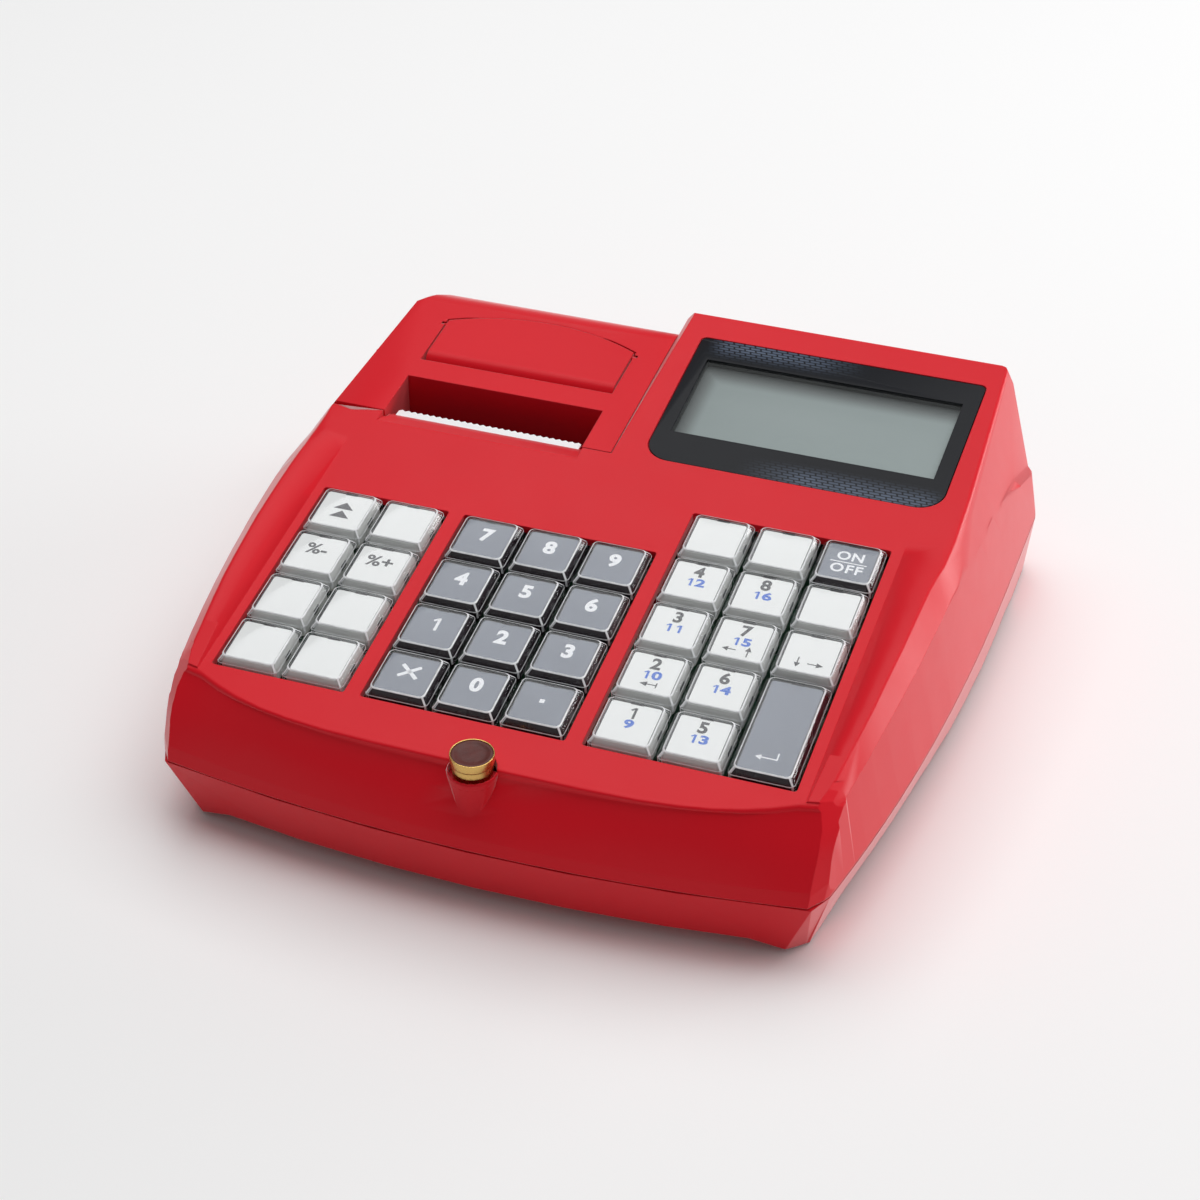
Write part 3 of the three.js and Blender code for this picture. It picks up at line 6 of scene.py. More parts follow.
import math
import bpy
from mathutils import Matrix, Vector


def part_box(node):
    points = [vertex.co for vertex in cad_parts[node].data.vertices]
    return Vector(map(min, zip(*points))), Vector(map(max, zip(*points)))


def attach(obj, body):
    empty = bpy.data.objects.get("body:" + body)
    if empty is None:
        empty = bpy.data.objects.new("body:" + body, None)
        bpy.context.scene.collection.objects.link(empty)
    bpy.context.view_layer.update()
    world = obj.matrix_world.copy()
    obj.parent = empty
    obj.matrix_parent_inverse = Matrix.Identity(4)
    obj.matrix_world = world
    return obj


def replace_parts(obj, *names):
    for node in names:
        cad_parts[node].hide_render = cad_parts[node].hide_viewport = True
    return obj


bl_info = {
    "name": "Cash register with ticket printer",
    "version": (1, 0, 0),
    "blender": (4, 5, 0),
    "location": "3D View > Sidebar > Register",
    "description": "Models the visible pieces of a cash register over its packed frame",
    "category": "Object",
}

import bmesh
import bpy
from bpy.props import FloatProperty, FloatVectorProperty, PointerProperty
from bpy.types import Operator, Panel, PropertyGroup
from mathutils import Matrix, Vector

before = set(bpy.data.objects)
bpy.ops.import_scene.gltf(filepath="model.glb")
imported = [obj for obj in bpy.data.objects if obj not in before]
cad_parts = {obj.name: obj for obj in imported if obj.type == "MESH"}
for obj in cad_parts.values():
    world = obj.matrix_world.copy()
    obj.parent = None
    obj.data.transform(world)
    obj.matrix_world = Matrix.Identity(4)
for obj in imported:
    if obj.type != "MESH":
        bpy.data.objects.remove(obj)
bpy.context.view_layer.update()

MM = 0.001

# The sloped deck's own frame: keys and display lie square in it
DECK_PLACE = (0, -15.2 * MM, 53.58 * MM)
DECK_SLOPE = math.radians(7)
DECK = Matrix.Translation(DECK_PLACE) @ Matrix.Rotation(DECK_SLOPE, 4, "X")

DARK_KEYS = {"times_key", "point_key", "total_key", "on_off_key"} | {f"digit_key_{n}" for n in range(10)}
KEYS = sorted(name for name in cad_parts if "_key" in name)


def size_property(name, description, default):
    return FloatProperty(
        name=name, description=description, default=default, min=0, unit="LENGTH", precision=5
    )


def colour_property(name, description, default):
    return FloatVectorProperty(
        name=name, description=description, default=default, size=3, min=0, max=1, subtype="COLOR"
    )


class RegisterSizes(PropertyGroup):
    edge_round: size_property("Edge round", "Radius that the moulded edges show", 0.45 * MM)
    grain_size: size_property("Grain size", "Size of the moulded plastic's grain", 0.35 * MM)
    cover_wall: size_property("Cover wall", "Wall of the clear key covers", 0.55 * MM)
    cover_round: size_property("Cover round", "Round along the key covers' top edges", 0.42 * MM)
    label_side: size_property("Label side", "Side of a key's printed label", 13.9 * MM)
    clip_width: size_property("Clip width", "Width of the clips that hold a key cover", 3.6 * MM)
    glass: size_property("Display glass", "Thickness of the clear pane over the display", 0.7 * MM)
    weave: size_property("Weave pitch", "Pitch of the woven print on the display panel", 1.7 * MM)


class RegisterColours(PropertyGroup):
    body: colour_property("Body", "Moulded red of the housing", (0.68, 0.006, 0.016))
    panel: colour_property("Display panel", "Black print behind the display panel", (0.008, 0.009, 0.012))
    light_cap: colour_property("Light caps", "White key caps", (0.78, 0.78, 0.75))
    dark_cap: colour_property("Dark caps", "Dark key caps", (0.022, 0.012, 0.018))
    light_label: colour_property("Light labels", "White key labels", (0.86, 0.86, 0.84))
    grey_label: colour_property("Grey labels", "Grey key labels", (0.205, 0.222, 0.265))
    light_ink: colour_property("Light print", "White print on the grey labels", (0.88, 0.88, 0.90))
    dark_ink: colour_property("Dark print", "Black print on the white labels", (0.035, 0.035, 0.04))
    blue_ink: colour_property("Blue print", "Blue print on the white labels", (0.035, 0.15, 0.62))
    screen: colour_property("Display", "Unlit liquid crystal display", (0.235, 0.27, 0.275))
    brass: colour_property("Brass", "Cup of the seal", (0.62, 0.40, 0.13))
    wax: colour_property("Wax", "Sealing wax", (0.10, 0.022, 0.018))


def sizes():
    return bpy.context.scene.register_sizes


def colours():
    return bpy.context.scene.register_colours


# Materials


class Wire:
    """A shader socket that ordinary maths works on."""

    def __init__(self, finish, socket):
        self.finish = finish
        self.socket = socket

    def maths(self, operation, first, second=None):
        values = {0: first} if second is None else {0: first, 1: second}
        return self.finish.node("ShaderNodeMath", values, operation=operation)[0]

    def __add__(self, other):
        return self.maths("ADD", self, other)

    def __radd__(self, other):
        return self.maths("ADD", other, self)

    def __sub__(self, other):
        return self.maths("SUBTRACT", self, other)

    def __rsub__(self, other):
        return self.maths("SUBTRACT", other, self)

    def __mul__(self, other):
        return self.maths("MULTIPLY", self, other)

    def __rmul__(self, other):
        return self.maths("MULTIPLY", other, self)

    def __truediv__(self, other):
        return self.maths("DIVIDE", self, other)

    def __pow__(self, other):
        return self.maths("POWER", self, other)

    def above(self, level):
        return self.maths("GREATER_THAN", self, level)

    def below(self, level):
        return self.maths("LESS_THAN", self, level)

    def least(self, other):
        return self.maths("MINIMUM", self, other)

    def most(self, other):
        return self.maths("MAXIMUM", self, other)

    def size(self):
        return self.maths("ABSOLUTE", self)

    def repeat(self):
        return self.maths("FRACT", self)

    def rise(self, start, end):
        """0 up to start, 1 from end on, and a smooth step between."""
        values = {"Value": self, "From Min": start, "From Max": end}
        return self.finish.node("ShaderNodeMapRange", values, interpolation_type="SMOOTHSTEP")["Result"]


class Node:
    """A node whose outputs are taken by name or place."""

    def __init__(self, finish, node):
        self.finish = finish
        self.raw = node

    def __getitem__(self, key):
        return Wire(self.finish, self.raw.outputs[key])


class Finish:
    """A material that is built node by node."""

    def __init__(self, name):
        self.material = bpy.data.materials.new(name)
        self.material.use_nodes = True
        self.tree = self.material.node_tree
        self.tree.nodes.clear()

    def node(self, kind, values=None, **settings):
        """A node with its settings, and with the values or links of its sockets."""
        made = self.tree.nodes.new(kind)
        for name, value in settings.items():
            setattr(made, name, value)
        for key, value in (values or {}).items():
            socket = made.inputs[key]
            if isinstance(value, Wire):
                self.tree.links.new(value.socket, socket)
            elif socket.type == "RGBA":
                socket.default_value = (*value[:3], 1)
            else:
                socket.default_value = value
        return Node(self, made)

    def place(self):
        """Object coordinates, in metres of the register's frame."""
        return self.node("ShaderNodeTexCoord")["Object"]

    def deck_place(self):
        """Object coordinates turned into the deck's frame."""
        inverse = DECK.inverted()
        values = {
            "Vector": self.place(),
            "Location": inverse.to_translation(),
            "Rotation": inverse.to_euler(),
        }
        return self.node("ShaderNodeMapping", values, vector_type="POINT")["Vector"]

    def axes(self, vector):
        parts = self.node("ShaderNodeSeparateXYZ", {"Vector": vector})
        return parts["X"], parts["Y"], parts["Z"]

    def deck_shares(self, node):
        """Places along the deck's x and y, and both as shares of a node's size."""
        x, y = self.axes(self.deck_place())[:2]
        low, high = deck_box(node)
        return (x, y), ((x - low.x) / (high.x - low.x), (y - low.y) / (high.y - low.y))

    def noise(self, vector, size, detail=2.0):
        values = {"Vector": vector, "Scale": 1 / size, "Detail": detail}
        return self.node("ShaderNodeTexNoise", values)["Fac"]

    def stretched(self, vector, x, y, z):
        values = {"Vector": vector, "Scale": (x, y, z)}
        return self.node("ShaderNodeMapping", values, vector_type="POINT")["Vector"]

    def blend(self, share, first, second):
        """A colour between two: a Mix node takes them at its sockets 6 and 7."""
        values = {0: share, 6: first, 7: second}
        return self.node("ShaderNodeMix", values, data_type="RGBA", clamp_factor=True)[2]

    def shaded(self, colour, amount, wander):
        """A colour that drifts a little lighter and darker."""
        dark = [channel * (1 - amount) for channel in colour]
        light = [min(1, channel * (1 + amount)) for channel in colour]
        return self.blend(wander, dark, light)

    def bump(self, height, distance, strength, normal=None):
        values = {"Height": height, "Distance": distance, "Strength": strength}
        if normal is not None:
            values["Normal"] = normal
        return self.node("ShaderNodeBump", values)["Normal"]

    def rounded(self, radius):
        """The normal that the edges would have with a round of this radius."""
        return self.node("ShaderNodeBevel", {"Radius": radius}, samples=6)["Normal"]

    def grazing(self, least, normal):
        """Share of light that a clear surface mirrors, the same from its front and its back."""
        facing = self.node("ShaderNodeLayerWeight", {"Blend": 0.5, "Normal": normal})["Facing"]
        return least + (0.9 - least) * facing**5

    def surface(self, **values):
        sockets = {name.replace("_", " ").title().replace("Ior", "IOR"): values[name] for name in values}
        return self.node("ShaderNodeBsdfPrincipled", sockets)[0]

    def done(self, shader):
        self.node("ShaderNodeOutputMaterial", {"Surface": shader})
        return self.material

    def solid(self, **values):
        """The finished material of an opaque surface."""
        return self.done(self.surface(**values))

    def clear(self, tint, share, gloss):
        """The finished material of a surface that is seen through, but for a share of gloss."""
        through = self.node("ShaderNodeBsdfTransparent", {"Color": tint})[0]
        return self.done(self.node("ShaderNodeMixShader", {0: share, 1: through, 2: gloss})[0])


def moulded_plastic(name, colour, roughness, drift=0.03, gloss=0.5, haze=0.0):
    """Moulded plastic: a fine even grain, a slow drift of colour and softly rounded edges."""
    look = Finish(name)
    place = look.place()
    slow = look.noise(place, 40 * MM)
    grain = look.noise(place, sizes().grain_size, 3.0)
    smear = look.noise(place, 9 * MM, 3.0)
    return look.solid(
        base_color=look.shaded(colour, drift, slow),
        roughness=roughness - 0.05 + 0.1 * smear,
        specular_ior_level=gloss,
        sheen_weight=haze,
        sheen_roughness=0.3,
        normal=look.bump(grain, 0.012 * MM, 0.6, look.rounded(sizes().edge_round)),
    )


def cover_edge_finish(name):
    """Rims and corners of a clear cover, painted pale and less clear as a painted highlight for the light
    that they gather, so that they show as thin pale lines.
    """
    look = Finish(name)
    mist = look.noise(look.place(), 2 * MM)
    colour = look.shaded((0.9, 0.91, 0.93), 0.05, mist)
    gloss = look.surface(base_color=colour, roughness=0.16 + 0.08 * mist)
    return look.clear((0.96, 0.97, 0.975), 0.6 + 0.5 * mist, gloss)


def clear_finish(name):
    """Clear cover: mostly seen through, with a polished gloss that grows towards its edges."""
    look = Finish(name)
    ripple = look.noise(look.place(), 3 * MM)
    normal = look.bump(ripple, 0.01 * MM, 0.15, look.rounded(0.15 * MM))
    values = {"Color": (0.95, 0.96, 0.97), "Roughness": 0.05 + 0.04 * ripple, "Normal": normal}
    gloss = look.node("ShaderNodeBsdfGlossy", values)[0]
    return look.clear((0.975, 0.98, 0.985), look.grazing(0.025, normal), gloss)


def glass_finish(name):
    """Clear display pane: seen through, with a weak even reflection."""
    look = Finish(name)
    wave = look.noise(look.place(), 25 * MM, 1.0)
    values = {"Color": (0.9, 0.92, 0.92), "Roughness": 0.25 + 0.05 * wave}
    gloss = look.node("ShaderNodeBsdfGlossy", values)[0]
    return look.clear((0.97, 0.98, 0.975), 0.012 + 0.006 * wave, gloss)


def printed_label(name, colour, drift):
    """Printed paper label under a cover, with fine fibres and a slow drift of colour."""
    look = Finish(name)
    place = look.deck_place()
    fibre = look.noise(look.stretched(place, 1, 3, 1), 0.5 * MM, 4.0)
    slow = look.noise(place, 12 * MM)
    return look.solid(
        base_color=look.shaded(colour, drift, slow),
        roughness=0.5 + 0.1 * fibre,
        normal=look.bump(fibre, 0.01 * MM, 0.3),
    )


def ink(name, colour):
    """Print with slightly uneven cover."""
    look = Finish(name)
    spread = look.noise(look.place(), 0.8 * MM, 3.0)
    return look.solid(base_color=look.shaded(colour, 0.08, spread), roughness=0.45 + 0.1 * spread)


def panel_finish(name):
    """Glossy black display panel with a woven print that fades in at its rear left and front right."""
    look = Finish(name)
    (x, y), (across, along) = look.deck_shares("display_bezel")
    pitch = sizes().weave
    row = (y / pitch * 1.5).repeat()
    odd = ((y / pitch * 0.75).repeat()).above(0.5)
    column = ((x + y * 0.35) / (pitch * 2) + odd * 0.5).repeat()
    strand = (row - 0.5).size().rise(0.42, 0.3) * (column - 0.5).size().rise(0.48, 0.36)
    sheen = look.noise(look.place(), 8 * MM, 3.0)
    rear = along.rise(0.84, 0.97) * across.rise(0.02, 0.12) * (1 - across.rise(0.3, 0.62))
    front = (1 - along.rise(0.02, 0.17)) * across.rise(0.3, 0.6) * (1 - across.rise(0.93, 1.02))
    glow = strand * (rear + front).least(1.0) * (0.35 + 0.9 * sheen)
    return look.solid(
        base_color=look.blend(glow.least(1.0), colours().panel, (0.11, 0.14, 0.2)),
        roughness=0.3 + 0.06 * sheen,
        specular_ior_level=0.12,
        normal=look.bump(sheen, 0.01 * MM, 0.2, look.rounded(0.25 * MM)),
    )


def screen_finish(name):
    """Unlit display: grey, lighter towards its front right as painted light, and darker along its rear
    and left edges as painted shadow of the panel.
    """
    look = Finish(name)
    across, along = look.deck_shares("operator_lcd")[1]
    cloud = look.noise(look.place(), 30 * MM)
    grey = colours().screen
    # Painted shadow of the panel along the display's rear and left edges
    painted_shadow = (along.rise(0.72, 0.86) * 0.8).most((1 - across.rise(0.06, 0.12)) * 0.75)
    # Painted light: the grey grows lighter towards the front right
    grey_with_painted_light = look.blend(across * 0.5 + (1 - along) * 0.5, grey, [channel * 1.25 for channel in grey])
    return look.solid(
        base_color=look.blend(painted_shadow, grey_with_painted_light, (0.05, 0.052, 0.055)),
        roughness=0.55 + 0.1 * cloud,
        normal=look.bump(cloud, 0.002 * MM, 0.1),
    )


def dark_window_finish(name):
    """Smoked window of the customer's display."""
    look = Finish(name)
    cloud = look.noise(look.place(), 20 * MM)
    return look.solid(
        base_color=look.shaded((0.016, 0.018, 0.02), 0.2, cloud),
        roughness=0.08 + 0.05 * cloud,
        coat_weight=0.5,
        normal=look.bump(cloud, 0.01 * MM, 0.2, look.rounded(0.2 * MM)),
    )


def metal(name, colour, streak):
    """Metal with fine tool marks along one direction."""
    look = Finish(name)
    place = look.place()
    marks = look.noise(look.stretched(place, *streak), 1.5 * MM, 5.0)
    tarnish = look.noise(place, 5 * MM, 3.0)
    return look.solid(
        base_color=look.shaded(colour, 0.14, tarnish),
        metallic=1.0,
        roughness=0.2 + 0.14 * marks,
        normal=look.bump(marks, 0.015 * MM, 0.5, look.rounded(0.12 * MM)),
    )


def blade_finish(name):
    """Bright plated tear-off blade."""
    look = Finish(name)
    haze = look.noise(look.stretched(look.place(), 0.2, 3, 3), 2 * MM, 3.0)
    return look.solid(
        base_color=look.shaded((0.93, 0.93, 0.94), 0.04, haze),
        metallic=0.3,
        roughness=0.3 + 0.1 * haze,
        normal=look.bump(haze, 0.005 * MM, 0.3),
    )


def wax_finish(name):
    """Poured wax: dark, slightly glossy, with a puddled surface."""
    look = Finish(name)
    place = look.place()
    puddle = look.noise(place, 2.6 * MM, 3.0)
    fine = look.noise(place, 0.5 * MM, 3.0)
    return look.solid(
        base_color=look.shaded(colours().wax, 0.35, puddle),
        roughness=0.34 + 0.25 * puddle,
        specular_ior_level=0.3,
        normal=look.bump(puddle * 0.8 + fine * 0.2, 0.45 * MM, 0.7),
    )


def rubber_finish(name):
    """Dull rubber with a dusty bloom."""
    look = Finish(name)
    place = look.place()
    bloom = look.noise(place, 3 * MM, 4.0)
    pores = look.noise(place, 0.25 * MM)
    return look.solid(
        base_color=look.blend(bloom, (0.018, 0.018, 0.019), (0.035, 0.034, 0.033)),
        roughness=0.72 + 0.12 * bloom,
        normal=look.bump(pores, 0.03 * MM, 0.5, look.rounded(0.3 * MM)),
    )


def paper_finish(name):
    """Thermal paper on its roll: layers show as fine rings on the ends."""
    look = Finish(name)
    place = look.place()
    y, z = look.axes(place)[1:]
    low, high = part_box("paper_roll")
    middle = (low + high) / 2
    reach = ((y - middle.y) ** 2 + (z - middle.z) ** 2) ** 0.5
    layers = (reach / (0.5 * MM)).repeat()
    fibre = look.noise(place, 0.4 * MM, 4.0)
    return look.solid(
        base_color=look.blend(layers.below(0.25) * 0.5, (0.84, 0.84, 0.82), (0.62, 0.62, 0.6)),
        roughness=0.6 + 0.1 * fibre,
        normal=look.bump(fibre, 0.01 * MM, 0.4),
    )


def board_finish(name):
    """Circuit board: green lacquer over lighter copper runs."""
    look = Finish(name)
    place = look.place()
    x, y = look.axes(place)[:2]
    values = {"Vector": place, "Scale": 1 / (6 * MM)}
    cell = look.node("ShaderNodeTexVoronoi", values, distance="MANHATTAN", feature="F1")["Distance"]
    runs = ((x / (2.2 * MM)).repeat().below(0.22)).most((y / (3.1 * MM)).repeat().below(0.14))
    pads = cell.below(0.12)
    speck = look.noise(place, 1.2 * MM, 3.0)
    green = look.blend(runs * 0.6, (0.012, 0.085, 0.035), (0.03, 0.16, 0.07))
    return look.solid(
        base_color=look.blend(pads, green, (0.45, 0.42, 0.36)),
        metallic=pads * 0.8,
        roughness=0.3 + 0.2 * speck,
        normal=look.bump(runs, 0.03 * MM, 0.5),
    )


def floor_finish(name):
    """Pale studio floor with a barely visible texture."""
    look = Finish(name)
    cloud = look.noise(look.place(), 0.6)
    return look.solid(base_color=look.blend(cloud, (0.9, 0.9, 0.9), (0.93, 0.93, 0.93)), roughness=0.7)


FINISH_MAKERS = {
    "red_body": lambda name: moulded_plastic(name, colours().body, 0.34, 0.04, 0.15, 0.6),
    "black_moulding": lambda name: moulded_plastic(name, colours().panel, 0.42, 0.1),
    "light_cap": lambda name: moulded_plastic(name, colours().light_cap, 0.32),
    "dark_cap": lambda name: moulded_plastic(name, colours().dark_cap, 0.28, 0.1),
    "cover_clip": lambda name: moulded_plastic(name, (0.045, 0.045, 0.048), 0.3, 0.1),
    # Grey of the side clips, also used as painted shade round the key labels
    "side_clip": lambda name: moulded_plastic(name, (0.11, 0.11, 0.115), 0.35, 0.15),
    "clear_cover": clear_finish,
    "cover_edge": cover_edge_finish,
    "light_label": lambda name: printed_label(name, colours().light_label, 0.02),
    "grey_label": lambda name: printed_label(name, colours().grey_label, 0.12),
    "light_print": lambda name: ink(name, colours().light_ink),
    "dark_print": lambda name: ink(name, colours().dark_ink),
    "blue_print": lambda name: ink(name, colours().blue_ink),
    "display_panel": panel_finish,
    "display_pane": glass_finish,
    "display_cells": screen_finish,
    "smoked_window": dark_window_finish,
    "brass": lambda name: metal(name, colours().brass, (1, 1, 6)),
    "steel": lambda name: metal(name, (0.72, 0.73, 0.75), (0.15, 4, 4)),
    "bright_blade": blade_finish,
    "sealing_wax": wax_finish,
    "rubber": rubber_finish,
    "roll_paper": paper_finish,
    "circuit_board": board_finish,
    "studio_floor": floor_finish,
}
FINISHES = {}


def finish(name):
    """The material of this name, made when it is first asked for."""
    if name not in FINISHES:
        FINISHES[name] = FINISH_MAKERS[name](name)
    return FINISHES[name]


# Modelling


def pick(piece):
    """Leaves object mode's selection with this piece alone."""
    bpy.ops.object.select_all(action="DESELECT")
    piece.select_set(True)
    bpy.context.view_layer.objects.active = piece


def named(name):
    piece = bpy.context.object
    piece.name = name
    piece.data.name = name
    return piece


def box_piece(name, low, high):
    """A box between two corners, as the start of a piece."""
    low, high = Vector(low), Vector(high)
    bpy.ops.mesh.primitive_cube_add(size=1, location=(low + high) / 2)
    piece = named(name)
    piece.scale = high - low
    settle(piece)
    return piece


def settle(piece):
    """Puts the piece's place, turn and scale into its mesh."""
    pick(piece)
    bpy.ops.object.transform_apply(location=True, rotation=True, scale=True)


def move_to(piece, matrix):
    piece.matrix_world = matrix
    settle(piece)


class Editing:
    """Edit mode on one piece, with selection by place and normal."""

    def __init__(self, piece):
        self.piece = piece

    def __enter__(self):
        pick(self.piece)
        bpy.ops.object.mode_set(mode="EDIT")
        return self

    def __exit__(self, *problem):
        bpy.ops.object.mode_set(mode="OBJECT")

    def _choose(self, kind, layer, test):
        bpy.ops.mesh.select_mode(type=kind)
        bpy.ops.mesh.select_all(action="DESELECT")
        mesh = bmesh.from_edit_mesh(self.piece.data)
        found = [item for item in getattr(mesh, layer) if test(item)]
        if not found:
            raise RuntimeError(f"{self.piece.name}: nothing to select")
        for item in found:
            item.select_set(True)
        bmesh.update_edit_mesh(self.piece.data)

    def faces(self, test):
        self._choose("FACE", "faces", test)

    def edges(self, test):
        self._choose("EDGE", "edges", test)

    def points(self, test):
        self._choose("VERT", "verts", test)

    def all(self):
        bpy.ops.mesh.select_mode(type="VERT")
        bpy.ops.mesh.select_all(action="SELECT")

    def bevel(self, test, offset, segments):
        """Rounds the edges that a test picks."""
        self.edges(test)
        bpy.ops.mesh.bevel(offset=offset, segments=segments, affect="EDGES")

    def scale(self, x, y, z, centre):
        bpy.ops.transform.resize(value=(x, y, z), center_override=centre)

    def push(self, x, y, z):
        bpy.ops.mesh.extrude_region_move(TRANSFORM_OT_translate={"value": (x, y, z)})


def is_top(face):
    return face.normal.z > 0.9


def is_upright(edge):
    along = edge.verts[1].co - edge.verts[0].co
    return abs(along.z) > 0.6 * along.length


def rim_of(height):
    return lambda edge: all(abs(point.co.z - height) < 0.01 * MM for point in edge.verts)


def narrower_than(width):
    return lambda edge: abs((edge.verts[1].co - edge.verts[0].co).x) < width


def apply_modifier(piece, kind, **settings):
    pick(piece)
    modifier = piece.modifiers.new(kind.title(), kind)
    for name, value in settings.items():
        setattr(modifier, name, value)
    bpy.ops.object.modifier_apply(modifier=modifier.name)


def smooth(piece, degrees=30):
    pick(piece)
    bpy.ops.object.shade_smooth_by_angle(angle=math.radians(degrees))


def even_out(piece):
    """Keeps the large flat faces flat and leaves the shading to the narrow ones between them."""
    apply_modifier(piece, "WEIGHTED_NORMAL", mode="FACE_AREA_WITH_ANGLE", weight=90, keep_sharp=True)


def blunt_corner(piece, direction, depth):
    """Cuts a fine facet off the corner of a piece that reaches furthest in a direction."""
    normal = Vector(direction).normalized()
    reach = max(normal.dot(vertex.co) for vertex in piece.data.vertices)
    with Editing(piece) as edit:
        edit.all()
        plane = normal * (reach - depth)
        bpy.ops.mesh.bisect(plane_co=plane, plane_no=normal, use_fill=True, clear_outer=True)


def within(low, high):
    """A test for points between two corners that are given in millimetres."""
    low, high = Vector(low) * MM, Vector(high) * MM
    return lambda point: all(low[i] < point.co[i] < high[i] for i in range(3))


def blend_creases(piece, low, high):
    """Lets the shading run on over the shallow creases between two corners."""
    inside, shallow = within(low, high), math.radians(58)

    def is_shallow(edge):
        return all(map(inside, edge.verts)) and edge.calc_face_angle(math.pi) < shallow

    with Editing(piece) as edit:
        edit.edges(is_shallow)
        bpy.ops.mesh.mark_sharp(clear=True)


def soften(piece, low, high):
    """Evens out the points of a piece's outer skin between two corners."""
    inside = within(low, high)
    with Editing(piece) as edit:
        edit.points(lambda point: inside(point) and point.normal.z > -0.25)
        bpy.ops.mesh.vertices_smooth(factor=0.5, repeat=4)


def wear(piece, *finishes):
    piece.data.materials.clear()
    for name in finishes:
        piece.data.materials.append(finish(name))


def join(pieces, name):
    pick(pieces[0])
    for piece in pieces[1:]:
        piece.select_set(True)
    if len(pieces) > 1:
        bpy.ops.object.join()
    return named(name)


def twin(piece, name):
    """A copy with its own mesh."""
    made = bpy.data.objects.new(name, piece.data.copy())
    made.data.name = name
    bpy.context.scene.collection.objects.link(made)
    return made


def from_frame(node, name):
    """A copy of a CAD node, with its loose triangles merged into a clean mesh."""
    made = twin(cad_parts[node], name)
    with Editing(made) as edit:
        edit.all()
        bpy.ops.mesh.remove_doubles(threshold=0.002 * MM)
        edit.all()
        bpy.ops.mesh.dissolve_limited(angle_limit=math.radians(0.4))
    return made


def deck_box(node):
    """A node's lowest and highest corner in the deck's frame."""
    inverse = DECK.inverted()
    points = [inverse @ vertex.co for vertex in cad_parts[node].data.vertices]
    return tuple(Vector([end(point[i] for point in points) for i in range(3)]) for end in (min, max))


def carry(piece, body, slot, *nodes):
    """Fixes a finished piece to its body and lets it stand for its CAD nodes."""
    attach(piece, body)
    if nodes:
        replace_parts(piece, *nodes)


def refine(node, name, body, slot, look, degrees):
    """A finished piece from a CAD node whose shape stays."""
    piece = from_frame(node, name)
    smooth(piece, degrees)
    wear(piece, look)
    carry(piece, body, slot, node)


def dress(node, finish_name):
    """A better material on a CAD node that stays as it is."""
    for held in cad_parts[node].material_slots:
        held.material = finish(finish_name)


# Keys

# Crease angle of a key in degrees, height of the print, and a capital's share of a text's size
KEY_CREASE = 32
PRINT_HEIGHT = 1.43 * MM
CAPITAL_SHARE = 0.73
DARK, LIGHT, BLUE = "dark_print", "light_print", "blue_print"
LEFT, RIGHT, FRONTWARD = math.pi / 2, -math.pi / 2, math.pi


def give_second_finish(piece, test):
    """Puts a piece's second finish on the faces that a test picks."""
    with Editing(piece) as edit:
        edit.faces(test)
        piece.active_material_index = 1
        bpy.ops.object.material_slot_assign()


def key_cover(width, length):
    """The clear cover of a key: a skirt and a drawn-in top, hollow below."""
    skirt_foot, skirt_top, top = -2.2 * MM, 0.1 * MM, 2.1 * MM
    draw, corner_round, shoulder_round = 2.8 * MM, 1.5 * MM, 0.16 * MM
    cover = box_piece("cover", (-width / 2, -length / 2, skirt_foot), (width / 2, length / 2, skirt_top))
    with Editing(cover) as edit:
        edit.faces(is_top)
        edit.push(0, 0, top - skirt_top)
        edit.scale((width - draw) / width, (length - draw) / length, 1, (0, 0, top))
        edit.bevel(is_upright, corner_round, 5)
        edit.bevel(rim_of(top), sizes().cover_round, 3)
        edit.bevel(rim_of(skirt_top), shoulder_round, 2)
        edit.faces(lambda face: face.normal.z < -0.9)
        bpy.ops.mesh.delete(type="FACE")
        edit.all()
        bpy.ops.mesh.normals_make_consistent(inside=False)
    apply_modifier(cover, "SOLIDIFY", thickness=sizes().cover_wall, offset=-1, use_even_offset=True)
    smooth(cover, KEY_CREASE)
    wear(cover, "clear_cover", "cover_edge")

    def is_edge(face):
        height = face.calc_center_median().z
        across, along = sorted((abs(face.normal.x), abs(face.normal.y)))
        on_rim = height > top - 0.3 * MM and 0.1 < abs(face.normal.z) < 0.98
        on_shoulder = abs(height - skirt_top) < 0.12 * MM
        return on_rim or on_shoulder or across > 0.8 * along > 0.1

    # The rims, the shoulder and the corners get the painted highlight finish
    give_second_finish(cover, is_edge)
    return cover


